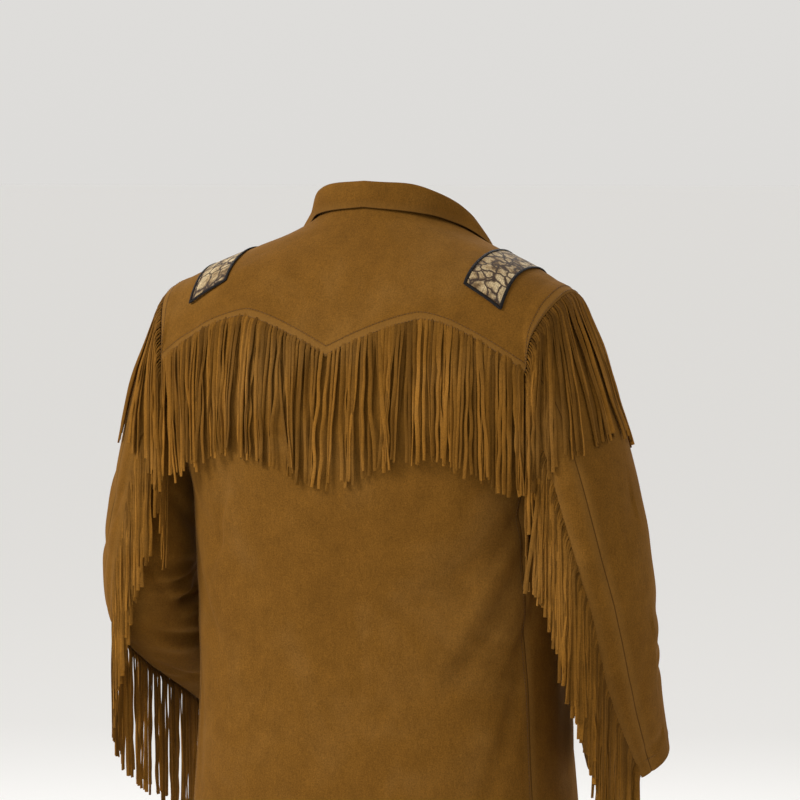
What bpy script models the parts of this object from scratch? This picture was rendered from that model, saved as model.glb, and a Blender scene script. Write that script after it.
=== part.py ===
"""A worn suede jacket with a pointed back yoke, shoulder patches and fringe, as hollow walls.

Metres, +Z up. The front faces -Y and the wearer's left is +X. The origin is the middle of the
neck base, where shoulders carry the jacket. Every cloth piece is a wall whose outer face lies
on one of two smooth forms, the body and the sleeve, which are read from short tables.
"""

import math

import bmesh
import bpy
import numpy as np

# Driving dimensions
CLOTH = 0.0016
SEAM_EASE = 0.0002
HEM_HEIGHT = -0.80
SHOULDER_HEIGHT = -0.104
UNDERARM_HEIGHT = -0.335
SIDE_SEAM = math.radians(67)
FRONT_SEAM = math.radians(105)
FRONT_YOKE_HEIGHT = -0.145
FRONT_LAP = 0.0025
ARMHOLE_EASE = 0.0017
COLLAR_THICKNESS = 0.0018

# The yoke's lower edge: heights of its two peaks, centre point and ends, and places out from the centre
YOKE_PEAK = -0.136
YOKE_POINT = -0.179
YOKE_CORNER = -0.194
YOKE_PEAK_OUT = 0.120
YOKE_CORNER_OUT = 0.244

# Where the yoke's corners meet the neck, as angles from the centre back
NECK_BACK = math.radians(42)
NECK_FRONT = math.radians(122)

# Radii that turn a fold's angle into a distance round the form
BODY_RADIUS = 0.2
SLEEVE_RADIUS = 0.065

YOKE_FRINGE_LENGTH = 0.172
YOKE_STRANDS = 50
ARMHOLE_STRANDS = 22
ARMHOLE_FRINGE_LENGTH = 0.185
ARMHOLE_FRINGE_START = 0.0030
ARMHOLE_FRINGE_BACK = math.radians(116)
ARMHOLE_FRINGE_FRONT = math.radians(-60)
# How far round the sleeve gravity draws an armhole strand's end from the seam's line
ARMHOLE_SWING = 0.36
SLEEVE_STRANDS = 24
SLEEVE_FRINGE_LENGTH = 0.165
SLEEVE_FRINGE_START = 0.38
SLEEVE_FRINGE_END = 0.985
STRIP_GAP = 0.0008
STRIP_THICKNESS = 0.0012
STRAND_THICKNESS = 0.0022

PATCH_BORDER = 0.085
PATCH_LIFT = 0.0022
PATCH_THICKNESS = 0.0012

BUTTON_HEIGHTS = (-0.21, -0.34, -0.47, -0.60)
BUTTON_RADIUS = 0.010
BUTTON_THICKNESS = 0.0036
BUTTON_SEAT = 0.0002

# The body's level sections: height, half width, depth behind, depth before, middle, squareness
BODY = (
    (-0.83, 0.261, 0.163, 0.173, -0.036, 2.20),
    (-0.70, 0.249, 0.154, 0.170, -0.035, 2.25),
    (-0.60, 0.244, 0.149, 0.168, -0.035, 2.30),
    (-0.50, 0.243, 0.146, 0.160, -0.030, 2.35),
    (-0.42, 0.241, 0.145, 0.150, -0.022, 2.40),
    (-0.335, 0.246, 0.143, 0.138, -0.012, 2.40),
    (-0.30, 0.256, 0.141, 0.132, -0.009, 2.40),
    (-0.25, 0.286, 0.138, 0.124, -0.005, 2.40),
    (-0.19, 0.314, 0.129, 0.112, -0.003, 2.40),
    (-0.15, 0.308, 0.119, 0.100, 0.000, 2.35),
    (-0.125, 0.292, 0.110, 0.089, 0.000, 2.30),
    (-0.104, 0.265, 0.103, 0.083, -0.001, 2.25),
    (-0.08, 0.224, 0.098, 0.082, -0.007, 2.20),
    (-0.06, 0.178, 0.090, 0.080, -0.016, 2.15),
    (-0.04, 0.132, 0.082, 0.068, -0.028, 2.10),
    (-0.02, 0.096, 0.077, 0.060, -0.044, 2.05),
    (0.005, 0.077, 0.071, 0.057, -0.056, 2.00),
    (0.03, 0.069, 0.068, 0.056, -0.060, 2.00),
)

# The armhole's reach as a share of the body's half width: height, share
ARMHOLE = (
    (-0.335, 1.000),
    (-0.30, 0.940),
    (-0.25, 0.850),
    (-0.19, 0.782),
    (-0.15, 0.812),
    (-0.125, 0.888),
    (-0.104, 1.000),
)

# The neck edge and the collar fall's edge, by angle from the centre back:
# angle, neck height, stand height, fall's edge height
NECK = (
    (0, 0.002, 0.026, -0.003),
    (45, -0.003, 0.026, -0.010),
    (67, -0.009, 0.022, -0.016),
    (90, -0.018, 0.018, -0.026),
    (110, -0.030, 0.016, -0.040),
    (130, -0.045, 0.015, -0.060),
    (160, -0.072, 0.014, -0.108),
    (190, -0.078, 0.012, -0.108),
)

# A sleeve's rings: distance along the arm, centre out, back and up, tilt of the outer side up,
# turn of the arm forward, half width across, half depth from front to back
UPPER_ARM = (
    (0.06, 0.2720, 0.003, -0.2585, 76, 0, 0.0930, 0.088),
    (0.15, 0.2910, 0.003, -0.3220, 45, 0, 0.0590, 0.086),
    (0.23, 0.3050, 0.003, -0.3990, 20, 2, 0.0575, 0.081),
)
FOREARMS = {
    "left": (
        (0.31, 0.3110, 0.004, -0.452, 6, 14, 0.0590, 0.078),
        (0.385, 0.3130, -0.008, -0.502, 0, 36, 0.0590, 0.077),
        (0.46, 0.3100, -0.058, -0.545, 0, 56, 0.0565, 0.068),
        (0.54, 0.3060, -0.126, -0.588, 0, 59, 0.0530, 0.061),
        (0.62, 0.3020, -0.192, -0.629, 0, 60, 0.0500, 0.056),
    ),
    "right": (
        (0.31, 0.3120, -0.002, -0.466, 6, 8, 0.0590, 0.076),
        (0.395, 0.3140, -0.022, -0.542, 0, 16, 0.0570, 0.069),
        (0.475, 0.3130, -0.053, -0.612, 0, 24, 0.0530, 0.062),
        (0.55, 0.3110, -0.086, -0.678, 0, 26, 0.0510, 0.058),
    ),
}

# Where the sleeve's seams lie round it, from the top or outer side towards the back:
# share of the length, outer seam, fringe seam
SLEEVE_SEAMS = {
    "left": (
        (0.00, 74, 108),
        (0.20, 66, 97),
        (0.40, 58, 87),
        (0.52, 50, 77),
        (0.66, 38, 63),
        (0.82, 36, 61),
        (1.00, 34, 59),
    ),
    "right": (
        (0.00, 72, 108),
        (0.30, 65, 101),
        (0.45, 60, 90),
        (0.60, 51, 79),
        (0.75, 45, 74),
        (0.90, 39, 62),
        (1.00, 33, 50),
    ),
}
FRONT_SLEEVE_SEAM = -82

# Soft folds of the body: angle, height, slant, half length, half width, depth inward
BODY_FOLDS = (
    (40, -0.42, 35, 0.110, 0.020, 0.0050),
    (30, -0.56, 24, 0.130, 0.022, 0.0035),
    (-44, -0.43, -40, 0.110, 0.020, 0.0050),
    (-30, -0.58, -18, 0.120, 0.024, 0.0035),
    (130, -0.40, -38, 0.100, 0.020, 0.0045),
    (-130, -0.42, 38, 0.100, 0.020, 0.0045),
    (150, -0.60, -12, 0.110, 0.022, 0.0035),
)

# Soft folds of each sleeve: angle round it, distance along it, slant, half length, half width, depth
SLEEVE_FOLDS = {
    "left": (
        (150, 0.30, 20, 0.060, 0.014, 0.0060),
        (190, 0.37, -18, 0.060, 0.014, 0.0070),
        (250, 0.38, 10, 0.065, 0.014, 0.0075),
        (230, 0.45, 24, 0.055, 0.013, 0.0060),
        (20, 0.27, 26, 0.060, 0.016, 0.0040),
    ),
    "right": (
        (230, 0.30, 18, 0.060, 0.014, 0.0055),
        (270, 0.36, -14, 0.060, 0.014, 0.0060),
        (320, 0.42, 16, 0.055, 0.014, 0.0045),
        (30, 0.34, -20, 0.055, 0.016, 0.0035),
    ),
}

COLOURS = {
    "suede": ((0.205, 0.105, 0.028), 0.92),
    "fringe": ((0.190, 0.098, 0.028), 0.92),
    "patch": ((0.52, 0.40, 0.22), 0.70),
    "border": ((0.020, 0.016, 0.014), 0.80),
    "button": ((0.090, 0.045, 0.018), 0.45),
}


def read_table(rows, at):
    """Smooth values between a table's rows, whose first column is the place."""
    rows = np.asarray(rows, float)
    place = rows[:, 0]
    at = np.clip(at, place[0], place[-1])
    row = np.clip(np.searchsorted(place, at, side="right") - 1, 0, len(place) - 2)
    slopes = np.gradient(rows[:, 1:], place, axis=0)
    step = (place[row + 1] - place[row])[..., None]
    t = ((at - place[row]))[..., None] / step
    start = (1 + 2 * t) * (1 - t) ** 2 * rows[row, 1:] + t * (1 - t) ** 2 * step * slopes[row]
    end = t * t * (3 - 2 * t) * rows[row + 1, 1:] - t * t * (1 - t) * step * slopes[row + 1]
    return np.moveaxis(start + end, -1, 0)


def soft_step(value, start, end):
    t = np.clip((value - start) / (end - start), 0, 1)
    return t * t * (3 - 2 * t)


def fold_depth(folds, across, along):
    """How far the folds draw the cloth in, at places in metres across and along it."""
    depth = np.zeros(np.broadcast(across, along).shape)
    for middle_across, middle_along, slant, half_length, half_width, deep in folds:
        turn = math.radians(slant)
        side, rise = across - middle_across, along - middle_along
        length = (side * math.cos(turn) + rise * math.sin(turn)) / half_length
        width = (rise * math.cos(turn) - side * math.sin(turn)) / half_width
        depth = depth + deep * np.exp(-(length ** 2) - width ** 2)
    return depth


def body(angle, height):
    """The body's outer form: angle from the centre back, positive to the wearer's left."""
    angle, height = np.broadcast_arrays(np.asarray(angle, float), np.asarray(height, float))
    half_width, behind, before, middle, square = read_table(BODY, height)
    sine, cosine = np.sin(angle), np.cos(angle)
    depth = np.where(cosine > 0, behind, before)
    folds = [(math.radians(row[0]) * BODY_RADIUS, *row[1:]) for row in BODY_FOLDS]
    around = (angle + math.pi) % (2 * math.pi) - math.pi
    shrink = 1 - fold_depth(folds, around * BODY_RADIUS, height) / BODY_RADIUS
    x = half_width * np.sign(sine) * np.abs(sine) ** (2 / square) * shrink
    y = depth * np.sign(cosine) * np.abs(cosine) ** (2 / square) * shrink
    return np.stack([x, middle + y, height], -1)


def unit(vectors):
    return vectors / np.maximum(np.linalg.norm(vectors, axis=-1, keepdims=True), 1e-12)


def body_normal(angle, height, reach=0.004):
    around = body(angle + reach, height) - body(angle - reach, height)
    up = body(angle, height + reach) - body(angle, height - reach)
    return unit(np.cross(up, around))


def armhole_angle(height):
    """The angle from the centre back at which the armhole's back edge crosses a height."""
    share = np.clip(read_table(ARMHOLE, height)[0], 0, 1)
    square = read_table(BODY, height)[4]
    return np.arcsin(share ** (square / 2))


def armhole_point(turn):
    """The armhole at a turn from its top, 0, through its back, a quarter, to the underarm, a half."""
    middle = (SHOULDER_HEIGHT + UNDERARM_HEIGHT) / 2
    height = middle + (SHOULDER_HEIGHT - UNDERARM_HEIGHT) / 2 * np.cos(turn)
    back = armhole_angle(height)
    angle = np.where(np.sin(turn) >= 0, back, math.pi - back)
    return angle, height


def yoke_edge(x):
    """The height of the yoke's lower edge: a point at the centre back and a peak on each side."""
    x = np.abs(x)
    inward = np.clip(1 - x / YOKE_PEAK_OUT, 0, 1)
    outward = np.clip((x - YOKE_PEAK_OUT) / (YOKE_CORNER_OUT - YOKE_PEAK_OUT), 0, 2)
    inner = YOKE_PEAK - (YOKE_PEAK - YOKE_POINT) * inward ** 1.35
    outer = YOKE_PEAK - (YOKE_PEAK - YOKE_CORNER) * outward ** 1.6
    return np.where(x < YOKE_PEAK_OUT, inner, outer)


def yoke_place(share):
    """The angle and height on the yoke's edge, from -1 at the right armhole to 1 at the left."""
    share = np.asarray(share, float)
    height = np.full(share.shape, -0.17)
    for _ in range(12):
        angle = share * armhole_angle(np.full(share.shape, yoke_end()))
        height = yoke_edge(body(angle, height)[..., 0])
    return angle, height


def yoke_end():
    """The height at which the yoke's edge meets the armhole."""
    height = -0.19
    for _ in range(12):
        x = body(armhole_angle(np.float64(height)), height)[0]
        height = float(yoke_edge(x))
    return height


def armhole_turn(height):
    middle = (SHOULDER_HEIGHT + UNDERARM_HEIGHT) / 2
    return math.acos((height - middle) / ((SHOULDER_HEIGHT - UNDERARM_HEIGHT) / 2))


def armhole_floor(angle):
    """The armhole's height over a side angle, near the underarm."""
    from_back = np.minimum(angle, math.pi - angle)
    low = np.full(np.shape(angle), UNDERARM_HEIGHT)
    high = np.full(np.shape(angle), -0.20)
    for _ in range(40):
        mid = (low + high) / 2
        outside = armhole_angle(mid) < from_back
        low, high = np.where(outside, low, mid), np.where(outside, mid, high)
    return (low + high) / 2


def arm_rows(side):
    return UPPER_ARM + FOREARMS[side]


def arm_length(side):
    return arm_rows(side)[-1][0]


def sleeve(side, turn, along):
    """A sleeve's outer form: turn round it from the outer side to the back, distance along it."""
    turn, along = np.broadcast_arrays(np.asarray(turn, float), np.asarray(along, float))
    angle, height = armhole_point(turn)
    first = body(angle, height)
    first[..., 0] += ARMHOLE_EASE
    rings, places = [first], [0.0]
    for place, out, back, up, tilt, pitch, half_width, half_depth in arm_rows(side):
        tilt, pitch = math.radians(tilt), math.radians(pitch)
        outward = np.array([math.cos(tilt), 0, math.sin(tilt)])
        backward = np.array([0, math.cos(pitch), -math.sin(pitch)])
        across = np.cos(turn)[..., None] * outward * half_width
        deep = np.sin(turn)[..., None] * backward * half_depth
        rings.append(np.array([out, back, up]) + across + deep)
        places.append(place)
    rings, places = np.array(rings), np.array(places)
    slopes = np.gradient(rings, places, axis=0)
    row = np.clip(np.searchsorted(places, along, side="right") - 1, 0, len(places) - 2)
    step = (places[row + 1] - places[row])[..., None]
    t = (along - places[row])[..., None] / step

    def pick(values, at):
        return np.take_along_axis(values, at[None, ..., None], 0)[0]

    start = (1 + 2 * t) * (1 - t) ** 2 * pick(rings, row)
    start = start + t * (1 - t) ** 2 * step * pick(slopes, row)
    end = t * t * (3 - 2 * t) * pick(rings, row + 1)
    point = start + end - t * t * (1 - t) * step * pick(slopes, row + 1)
    middle = sleeve_middle(side, along)
    folds = [(math.radians(fold[0]) * SLEEVE_RADIUS, *fold[1:]) for fold in SLEEVE_FOLDS[side]]
    around = (turn % (2 * math.pi)) * SLEEVE_RADIUS
    depth = fold_depth(folds, around, along)[..., None]
    point = point - unit(point - middle) * depth
    if side == "right":
        point = point * np.array([-1, 1, 1])
    return point


def sleeve_middle(side, along):
    rows = [(-0.05, 0.25, 0.0, -0.2195), (0.0, 0.2550, 0.004, -0.2195)]
    rows += [row[:4] for row in arm_rows(side)]
    return np.moveaxis(read_table(rows, along), 0, -1)


def sleeve_normal(side, turn, along, reach=0.004):
    length = arm_length(side)
    around = sleeve(side, turn + reach * 10, along) - sleeve(side, turn - reach * 10, along)
    ahead, behind = np.minimum(along + reach, length), np.maximum(along - reach, 0)
    forward = sleeve(side, turn, ahead) - sleeve(side, turn, behind)
    normal = unit(np.cross(forward, around))
    return normal if side == "left" else -normal


def new_material(name):
    colour, roughness = COLOURS[name]
    material = bpy.data.materials.new(name)
    material.use_nodes = True
    shader = material.node_tree.nodes["Principled BSDF"]
    shader.inputs["Base Color"].default_value = (*colour, 1)
    shader.inputs["Roughness"].default_value = roughness
    material.diffuse_color = (*colour, 1)
    return material


def add_object(name, mesh, material):
    mesh.materials.append(bpy.data.materials.get(material) or new_material(material))
    mesh.shade_smooth()
    mesh.set_sharp_from_angle(angle=math.radians(50))
    part = bpy.data.objects.new(name, mesh)
    bpy.data.collections["fringe_jacket"].objects.link(part)
    return part


def mesh_from(name, points, faces, material):
    mesh = bpy.data.meshes.new(name)
    mesh.from_pydata([tuple(point) for point in points], [], faces)
    shape = bmesh.new()
    shape.from_mesh(mesh)
    bmesh.ops.recalc_face_normals(shape, faces=shape.faces)
    shape.to_mesh(mesh)
    shape.free()
    return add_object(name, mesh, material)


def ease(points):
    """Draws a panel's outline in by half a seam's gap."""
    for edge, inner in ((0, 1), (-1, -2)):
        step = unit(points[inner] - points[edge]) * SEAM_EASE
        points[edge] = points[edge] + step
    for edge, inner in ((0, 1), (-1, -2)):
        step = unit(points[:, inner] - points[:, edge]) * SEAM_EASE
        points[:, edge] = points[:, edge] + step
    return points


def wall(name, points, normals, material="suede", lift=0.0, thickness=CLOTH):
    """A closed wall under a grid of outer points; lift moves it out, as one number or one a point."""
    points = ease(points.copy())
    raised = points + normals * np.asarray(lift)[..., None]
    under = raised - normals * thickness
    rows, columns = points.shape[:2]
    every = np.concatenate([raised.reshape(-1, 3), under.reshape(-1, 3)])
    count = rows * columns

    def at(row, column, layer):
        return layer * count + row * columns + column

    faces = []
    for row in range(rows - 1):
        for column in range(columns - 1):
            for layer in (0, 1):
                faces.append((at(row, column, layer), at(row, column + 1, layer),
                              at(row + 1, column + 1, layer), at(row + 1, column, layer)))
    rim = [(0, column) for column in range(columns)]
    rim += [(row, columns - 1) for row in range(1, rows)]
    rim += [(rows - 1, column) for column in range(columns - 2, -1, -1)]
    rim += [(row, 0) for row in range(rows - 2, 0, -1)]
    for here, there in zip(rim, rim[1:] + rim[:1]):
        faces.append((at(*here, 0), at(*there, 0), at(*there, 1), at(*here, 1)))
    return mesh_from(name, every, faces, material)


def body_wall(name, angle, height, lift=0.0, material="suede"):
    return wall(name, body(angle, height), body_normal(angle, height), material, lift)


# Shares of the height shared by the panels that meet at the side seams
LOWER_ROWS = np.linspace(0, 1, 11)
UPPER_ROWS = np.linspace(0, 1, 4)[1:]
# A front's last columns, past which the two fronts lap over each other
LAP_COLUMNS = np.radians([171, 175, 178, 180, 182])
YOKE_COLUMNS = np.linspace(-1, 1, 19)
FRONT_COLUMNS = np.linspace(0, 1, 5)[:-1]


def front_lift(angle):
    """How far the left front's lap stands over the right one."""
    return FRONT_LAP * soft_step(angle, math.radians(171), math.radians(175))


def make_back():
    seam_top = float(armhole_floor(np.float64(SIDE_SEAM)))
    lower = HEM_HEIGHT + (seam_top - HEM_HEIGHT) * LOWER_ROWS
    share = YOKE_COLUMNS[None, :]
    height = np.repeat(lower[:, None], len(YOKE_COLUMNS), 1)
    angle = share * SIDE_SEAM * np.ones_like(height)
    top_angle, top_height = yoke_place(YOKE_COLUMNS)
    upper_height = seam_top + (top_height[None, :] - seam_top) * UPPER_ROWS[:, None]
    upper_angle = share * armhole_angle(upper_height)
    upper_angle[-1] = top_angle
    body_wall("back", np.vstack([angle, upper_angle]), np.vstack([height, upper_height]))


def make_side(side, sign):
    angle = np.linspace(SIDE_SEAM, FRONT_SEAM, 5)
    top = armhole_floor(angle)
    height = HEM_HEIGHT + (top - HEM_HEIGHT)[None, :] * LOWER_ROWS[:, None]
    body_wall(f"side_{side}", sign * np.repeat(angle[None, :], len(height), 0), height)


def front_columns(edge):
    """Angles from a front panel's outer edge to its lap, a row for each edge angle."""
    edge = np.asarray(edge, float)[:, None]
    plain = edge + (LAP_COLUMNS[0] - edge) * FRONT_COLUMNS[None, :]
    return np.hstack([plain, np.repeat(LAP_COLUMNS[None, :], len(edge), 0)])


def make_front(side, sign):
    seam_top = float(armhole_floor(np.float64(FRONT_SEAM)))
    lower = HEM_HEIGHT + (seam_top - HEM_HEIGHT) * LOWER_ROWS
    upper = seam_top + (FRONT_YOKE_HEIGHT - seam_top) * UPPER_ROWS
    heights = np.concatenate([lower, upper])
    edge = np.where(heights <= seam_top, FRONT_SEAM, math.pi - armhole_angle(heights))
    angle = front_columns(edge)
    height = np.repeat(heights[:, None], angle.shape[1], 1)
    lift = front_lift(angle) if side == "left" else np.zeros_like(angle)
    body_wall(f"front_{side}", sign * angle, height, lift)


def neck_height(angle):
    return read_table(NECK, np.degrees(np.abs(angle)))[0]


def yoke_outline():
    """The yoke's lower edge from the right lap, round the back, to the left lap, and its neck angles."""
    angle, height = yoke_place(YOKE_COLUMNS)
    back_turn = armhole_turn(yoke_end())
    front_turn = -armhole_turn(FRONT_YOKE_HEIGHT)
    turns = np.linspace(back_turn, front_turn, 10)[1:-1]
    arm_angle, arm_height = armhole_point(turns)
    edge = math.pi - armhole_angle(np.float64(FRONT_YOKE_HEIGHT))
    front_angle = front_columns([edge])[0]
    side_angle = np.concatenate([arm_angle, front_angle])
    side_height = np.concatenate([arm_height, np.full(front_angle.shape, FRONT_YOKE_HEIGHT)])
    neck_arm = np.linspace(NECK_BACK, NECK_FRONT, 10)[1:-1]
    neck_front = NECK_FRONT + (LAP_COLUMNS[0] - NECK_FRONT) * FRONT_COLUMNS
    neck_side = np.concatenate([neck_arm, neck_front, LAP_COLUMNS])
    lower_angle = np.concatenate([-side_angle[::-1], angle, side_angle])
    lower_height = np.concatenate([side_height[::-1], height, side_height])
    neck = np.concatenate([-neck_side[::-1], NECK_BACK * YOKE_COLUMNS, neck_side])
    return lower_angle, lower_height, neck


def yoke_grid(rows=6):
    lower_angle, lower_height, neck = yoke_outline()
    share = np.linspace(0, 1, rows)[:, None]
    angle = lower_angle + (neck - lower_angle) * share
    height = lower_height + (neck_height(neck) - lower_height) * share
    return angle, height


def make_yoke():
    angle, height = yoke_grid()
    body_wall("yoke", angle, height, front_lift(angle))


def collar_rows(angle, lift):
    """The collar's profile at each angle, from the neck seam over the fold to the fall's edge."""
    neck, stand, edge = read_table(NECK, np.degrees(np.abs(angle)))
    foot = body(angle, neck)
    out = body_normal(angle, neck)
    out = unit(out * np.array([1, 1, 0]))
    up = np.array([0, 0, 1.0])
    fall = body(angle, edge) + body_normal(angle, edge) * (0.0034 + lift)[..., None]
    fold = foot + out * (0.003 + lift)[..., None] + up * stand[..., None]
    line = [foot + up * 0.0012 + out * (lift - 0.001)[..., None],
            foot + up * (stand * 0.55)[..., None] + out * (lift - 0.0012)[..., None],
            fold + out * -0.0030 - up * 0.0016,
            fold,
            fold + out * 0.0030 - up * 0.0022,
            fold * 0.45 + fall * 0.55 + out * 0.0028,
            fall]
    return np.array(line)


def make_collar():
    angle = np.radians(np.linspace(-173, 173, 31))
    line = collar_rows(angle, front_lift(angle))
    along = np.gradient(line, axis=0)
    sideways = np.gradient(line, axis=1)
    normal = unit(np.cross(along, sideways))
    wall("collar", line, normal, "suede", 0.0, COLLAR_THICKNESS)


def sleeve_seam(side, share, column):
    return np.radians(read_table(SLEEVE_SEAMS[side], share)[column])


def sleeve_wall(name, side, first, last, columns, rows=15):
    """A sleeve panel between two seams, given as functions of the share of the length."""
    share = np.linspace(0, 1, rows) ** 1.12
    start, end = first(share)[:, None], last(share)[:, None]
    turn = start + (end - start) * np.linspace(0, 1, columns)[None, :]
    along = np.repeat((share * arm_length(side))[:, None], columns, 1)
    wall(name, sleeve(side, turn, along), sleeve_normal(side, turn, along))


def make_sleeve(side):
    front = math.radians(FRONT_SLEEVE_SEAM)

    def outer_seam(share):
        return sleeve_seam(side, share, 0)

    def fringe_seam(share):
        return sleeve_seam(side, share, 1)

    def front_seam(share):
        return np.full(np.shape(share), front)

    def front_seam_again(share):
        return np.full(np.shape(share), front + 2 * math.pi)

    sleeve_wall(f"sleeve_upper_{side}", side, front_seam, outer_seam, 8)
    sleeve_wall(f"sleeve_band_{side}", side, outer_seam, fringe_seam, 3)
    sleeve_wall(f"sleeve_under_{side}", side, fringe_seam, front_seam_again, 9)


def make_fringe(name, stations, strands, root_side):
    """A backing strip with strands grown from it, as one body.

    stations holds the strip's four corners at each cell's edge: upper inner, upper outer, lower
    outer, lower inner. Every second cell, from the second on, grows a strand, whose rings of
    four corners come in strands. root_side is the corner pair that the strands grow from.
    """
    points = [corner for station in stations for corner in station]
    faces = []
    last = len(stations) - 1
    sides = {"lower": (2, 3), "outer": (1, 2)}
    root = sides[root_side]
    for cell in range(last):
        here, there = cell * 4, cell * 4 + 4
        grows = cell % 2 == 1
        for corner in range(4):
            following = (corner + 1) % 4
            if grows and corner == root[0]:
                ring = [here + root[0], there + root[0], there + root[1], here + root[1]]
                for section in strands[cell // 2]:
                    fresh = list(range(len(points), len(points) + 4))
                    points.extend(section)
                    for k in range(4):
                        n = (k + 1) % 4
                        faces.append((ring[k], ring[n], fresh[n], fresh[k]))
                    ring = fresh
                faces.append(tuple(ring))
            else:
                faces.append((here + corner, here + following, there + following, there + corner))
    faces.append((0, 1, 2, 3))
    faces.append(tuple(last * 4 + k for k in (3, 2, 1, 0)))
    mesh_from(name, points, faces, "fringe")


def strand_section(middle, side, out, width):
    """Four corners in the order: outer start, outer end, inner end, inner start."""
    w, t = side * width / 2, out * STRAND_THICKNESS / 2
    return [middle - w + t, middle + w + t, middle + w - t, middle - w - t]


def cells(count, strand_share):
    """Edges of the cells along a strip, as shares of its length: gap, strand, gap and so on."""
    pitch = 1 / count
    edges = [0.0]
    for index in range(count):
        middle = (index + 0.5) * pitch
        edges += [middle - pitch * strand_share / 2, middle + pitch * strand_share / 2]
    return np.array(edges + [1.0])


def body_back(x, height):
    """How far back the body reaches at a place seen from behind."""
    half_width, behind, _, middle, square = read_table(BODY, height)
    share = np.clip(np.abs(x) / half_width, 0, 0.995)
    return middle + behind * (1 - share ** square) ** (1 / square)


def uneven(index, seed):
    """A fixed uneven value from -1 to 1."""
    return math.sin(index * 12.9898 + seed * 78.233) * math.cos(index * 4.13 + seed)


def make_yoke_fringe():
    strip_top, strip_low = 0.001, 0.009
    gap, face = STRIP_GAP, STRIP_GAP + STRIP_THICKNESS
    share = cells(YOKE_STRANDS, 0.68) * 1.984 - 0.992
    angle, height = yoke_place(share)
    place, out = body(angle, height), body_normal(angle, height)
    stations = []
    top, low = height - strip_top, height - strip_low
    for edge in zip(body(angle, top), body_normal(angle, top), body(angle, low), body_normal(angle, low)):
        upper, upper_out, lower, lower_out = edge
        stations.append([upper + upper_out * gap, upper + upper_out * face,
                         lower + lower_out * face, lower + lower_out * gap])
    strands = []
    for index in range(YOKE_STRANDS):
        start, end = place[2 * index + 1], place[2 * index + 2]
        normal = unit((out[2 * index + 1] + out[2 * index + 2]) / 2)
        middle = (start + end) / 2
        width = np.linalg.norm(end - start) * 0.98
        side = unit((end - start) * np.array([1, 1, 0]))
        ends = abs(2 * index + 1 - YOKE_STRANDS) / YOKE_STRANDS
        length = YOKE_FRINGE_LENGTH * (1 + 0.035 * uneven(index, 1)) - 0.026 * ends ** 3
        proud = 0.0042 + 0.0012 * (index % 2)
        flat = unit(normal * np.array([1, 1, 0]))
        rings = []
        for share_down in (0.14, 0.42, 0.72, 1.0):
            x = middle[0] + 0.0016 * uneven(index, 2) * share_down
            low = middle[2] - strip_low - (length - strip_low) * share_down
            back = max(body_back(x, low), middle[1] - 0.010 * share_down)
            point = np.array([x, back, low]) + flat * proud
            rings.append(strand_section(point, side, flat, width * (1 - 0.1 * share_down)))
        strands.append(rings)
    make_fringe("yoke_fringe", stations, strands, "lower")


def make_armhole_fringe(side):
    gap, strip, widest = 0.0010, 0.0085, 0.0062
    face, start, end = gap + STRIP_THICKNESS, ARMHOLE_FRINGE_START, ARMHOLE_FRINGE_START + strip
    turn = ARMHOLE_FRINGE_BACK + (ARMHOLE_FRINGE_FRONT - ARMHOLE_FRINGE_BACK) * cells(ARMHOLE_STRANDS, 0.62)
    stations = []
    for at in turn:
        corners = []
        for along, lift in ((start, gap), (start, face), (end, face), (end, gap)):
            corners.append(sleeve(side, at, along) + sleeve_normal(side, at, along) * lift)
        stations.append(corners)
    strands = []
    for index in range(ARMHOLE_STRANDS):
        at = (turn[2 * index + 1] + turn[2 * index + 2]) / 2
        length = ARMHOLE_FRINGE_LENGTH * (1 + 0.04 * uneven(index, 3))
        root = np.array(stations[2 * index + 1][2]) - np.array(stations[2 * index + 2][2])
        width = min(np.linalg.norm(root), widest)
        reach = strand_reach(side, at, length)
        lift = 0.0034 + 0.0012 * (index % 2)
        rings = []
        for share_down in (0.10, 0.28, 0.5, 0.75, 1.0):
            along = end + (length - strip) * share_down * reach
            hung = at + ARMHOLE_SWING * math.sin(at) * share_down
            normal = sleeve_normal(side, hung, along)
            middle = sleeve(side, hung, along) + normal * lift
            spread = sleeve(side, hung - 0.05, along) - sleeve(side, hung + 0.05, along)
            rings.append(strand_section(middle, unit(spread), normal, width))
        strands.append(rings)
    make_fringe(f"armhole_fringe_{side}", stations, strands, "lower")


def strand_reach(side, turn, length):
    """The share of its table distance that a strand of this length covers down the sleeve."""
    along = np.linspace(0, length * 1.6, 60)
    line = sleeve(side, turn, along)
    walked = np.concatenate([[0], np.cumsum(np.linalg.norm(np.diff(line, axis=0), axis=1))])
    return float(np.interp(length, walked, along) / length)


def sleeve_cloud(side):
    """Points all over a sleeve, to hang strands clear of it."""
    turn = np.linspace(0, 2 * math.pi, 91)[:-1]
    along = np.linspace(0, arm_length(side), 110)
    return sleeve(side, turn[None, :], along[:, None]).reshape(-1, 3)


def hang(point, cloud, length, steps):
    """A strand's places below a root, kept behind the sleeve's back where it would cut in."""
    places = []
    y = point[1]
    for share in steps:
        z = point[2] - length * share
        near = (np.abs(cloud[:, 0] - point[0]) < 0.008) & (np.abs(cloud[:, 2] - z) < 0.010)
        near &= cloud[:, 1] > point[1] - 0.05
        if near.any():
            y = max(y, cloud[near, 1].max() + 0.0035)
        places.append(np.array([point[0], y, z]))
    return places


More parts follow.
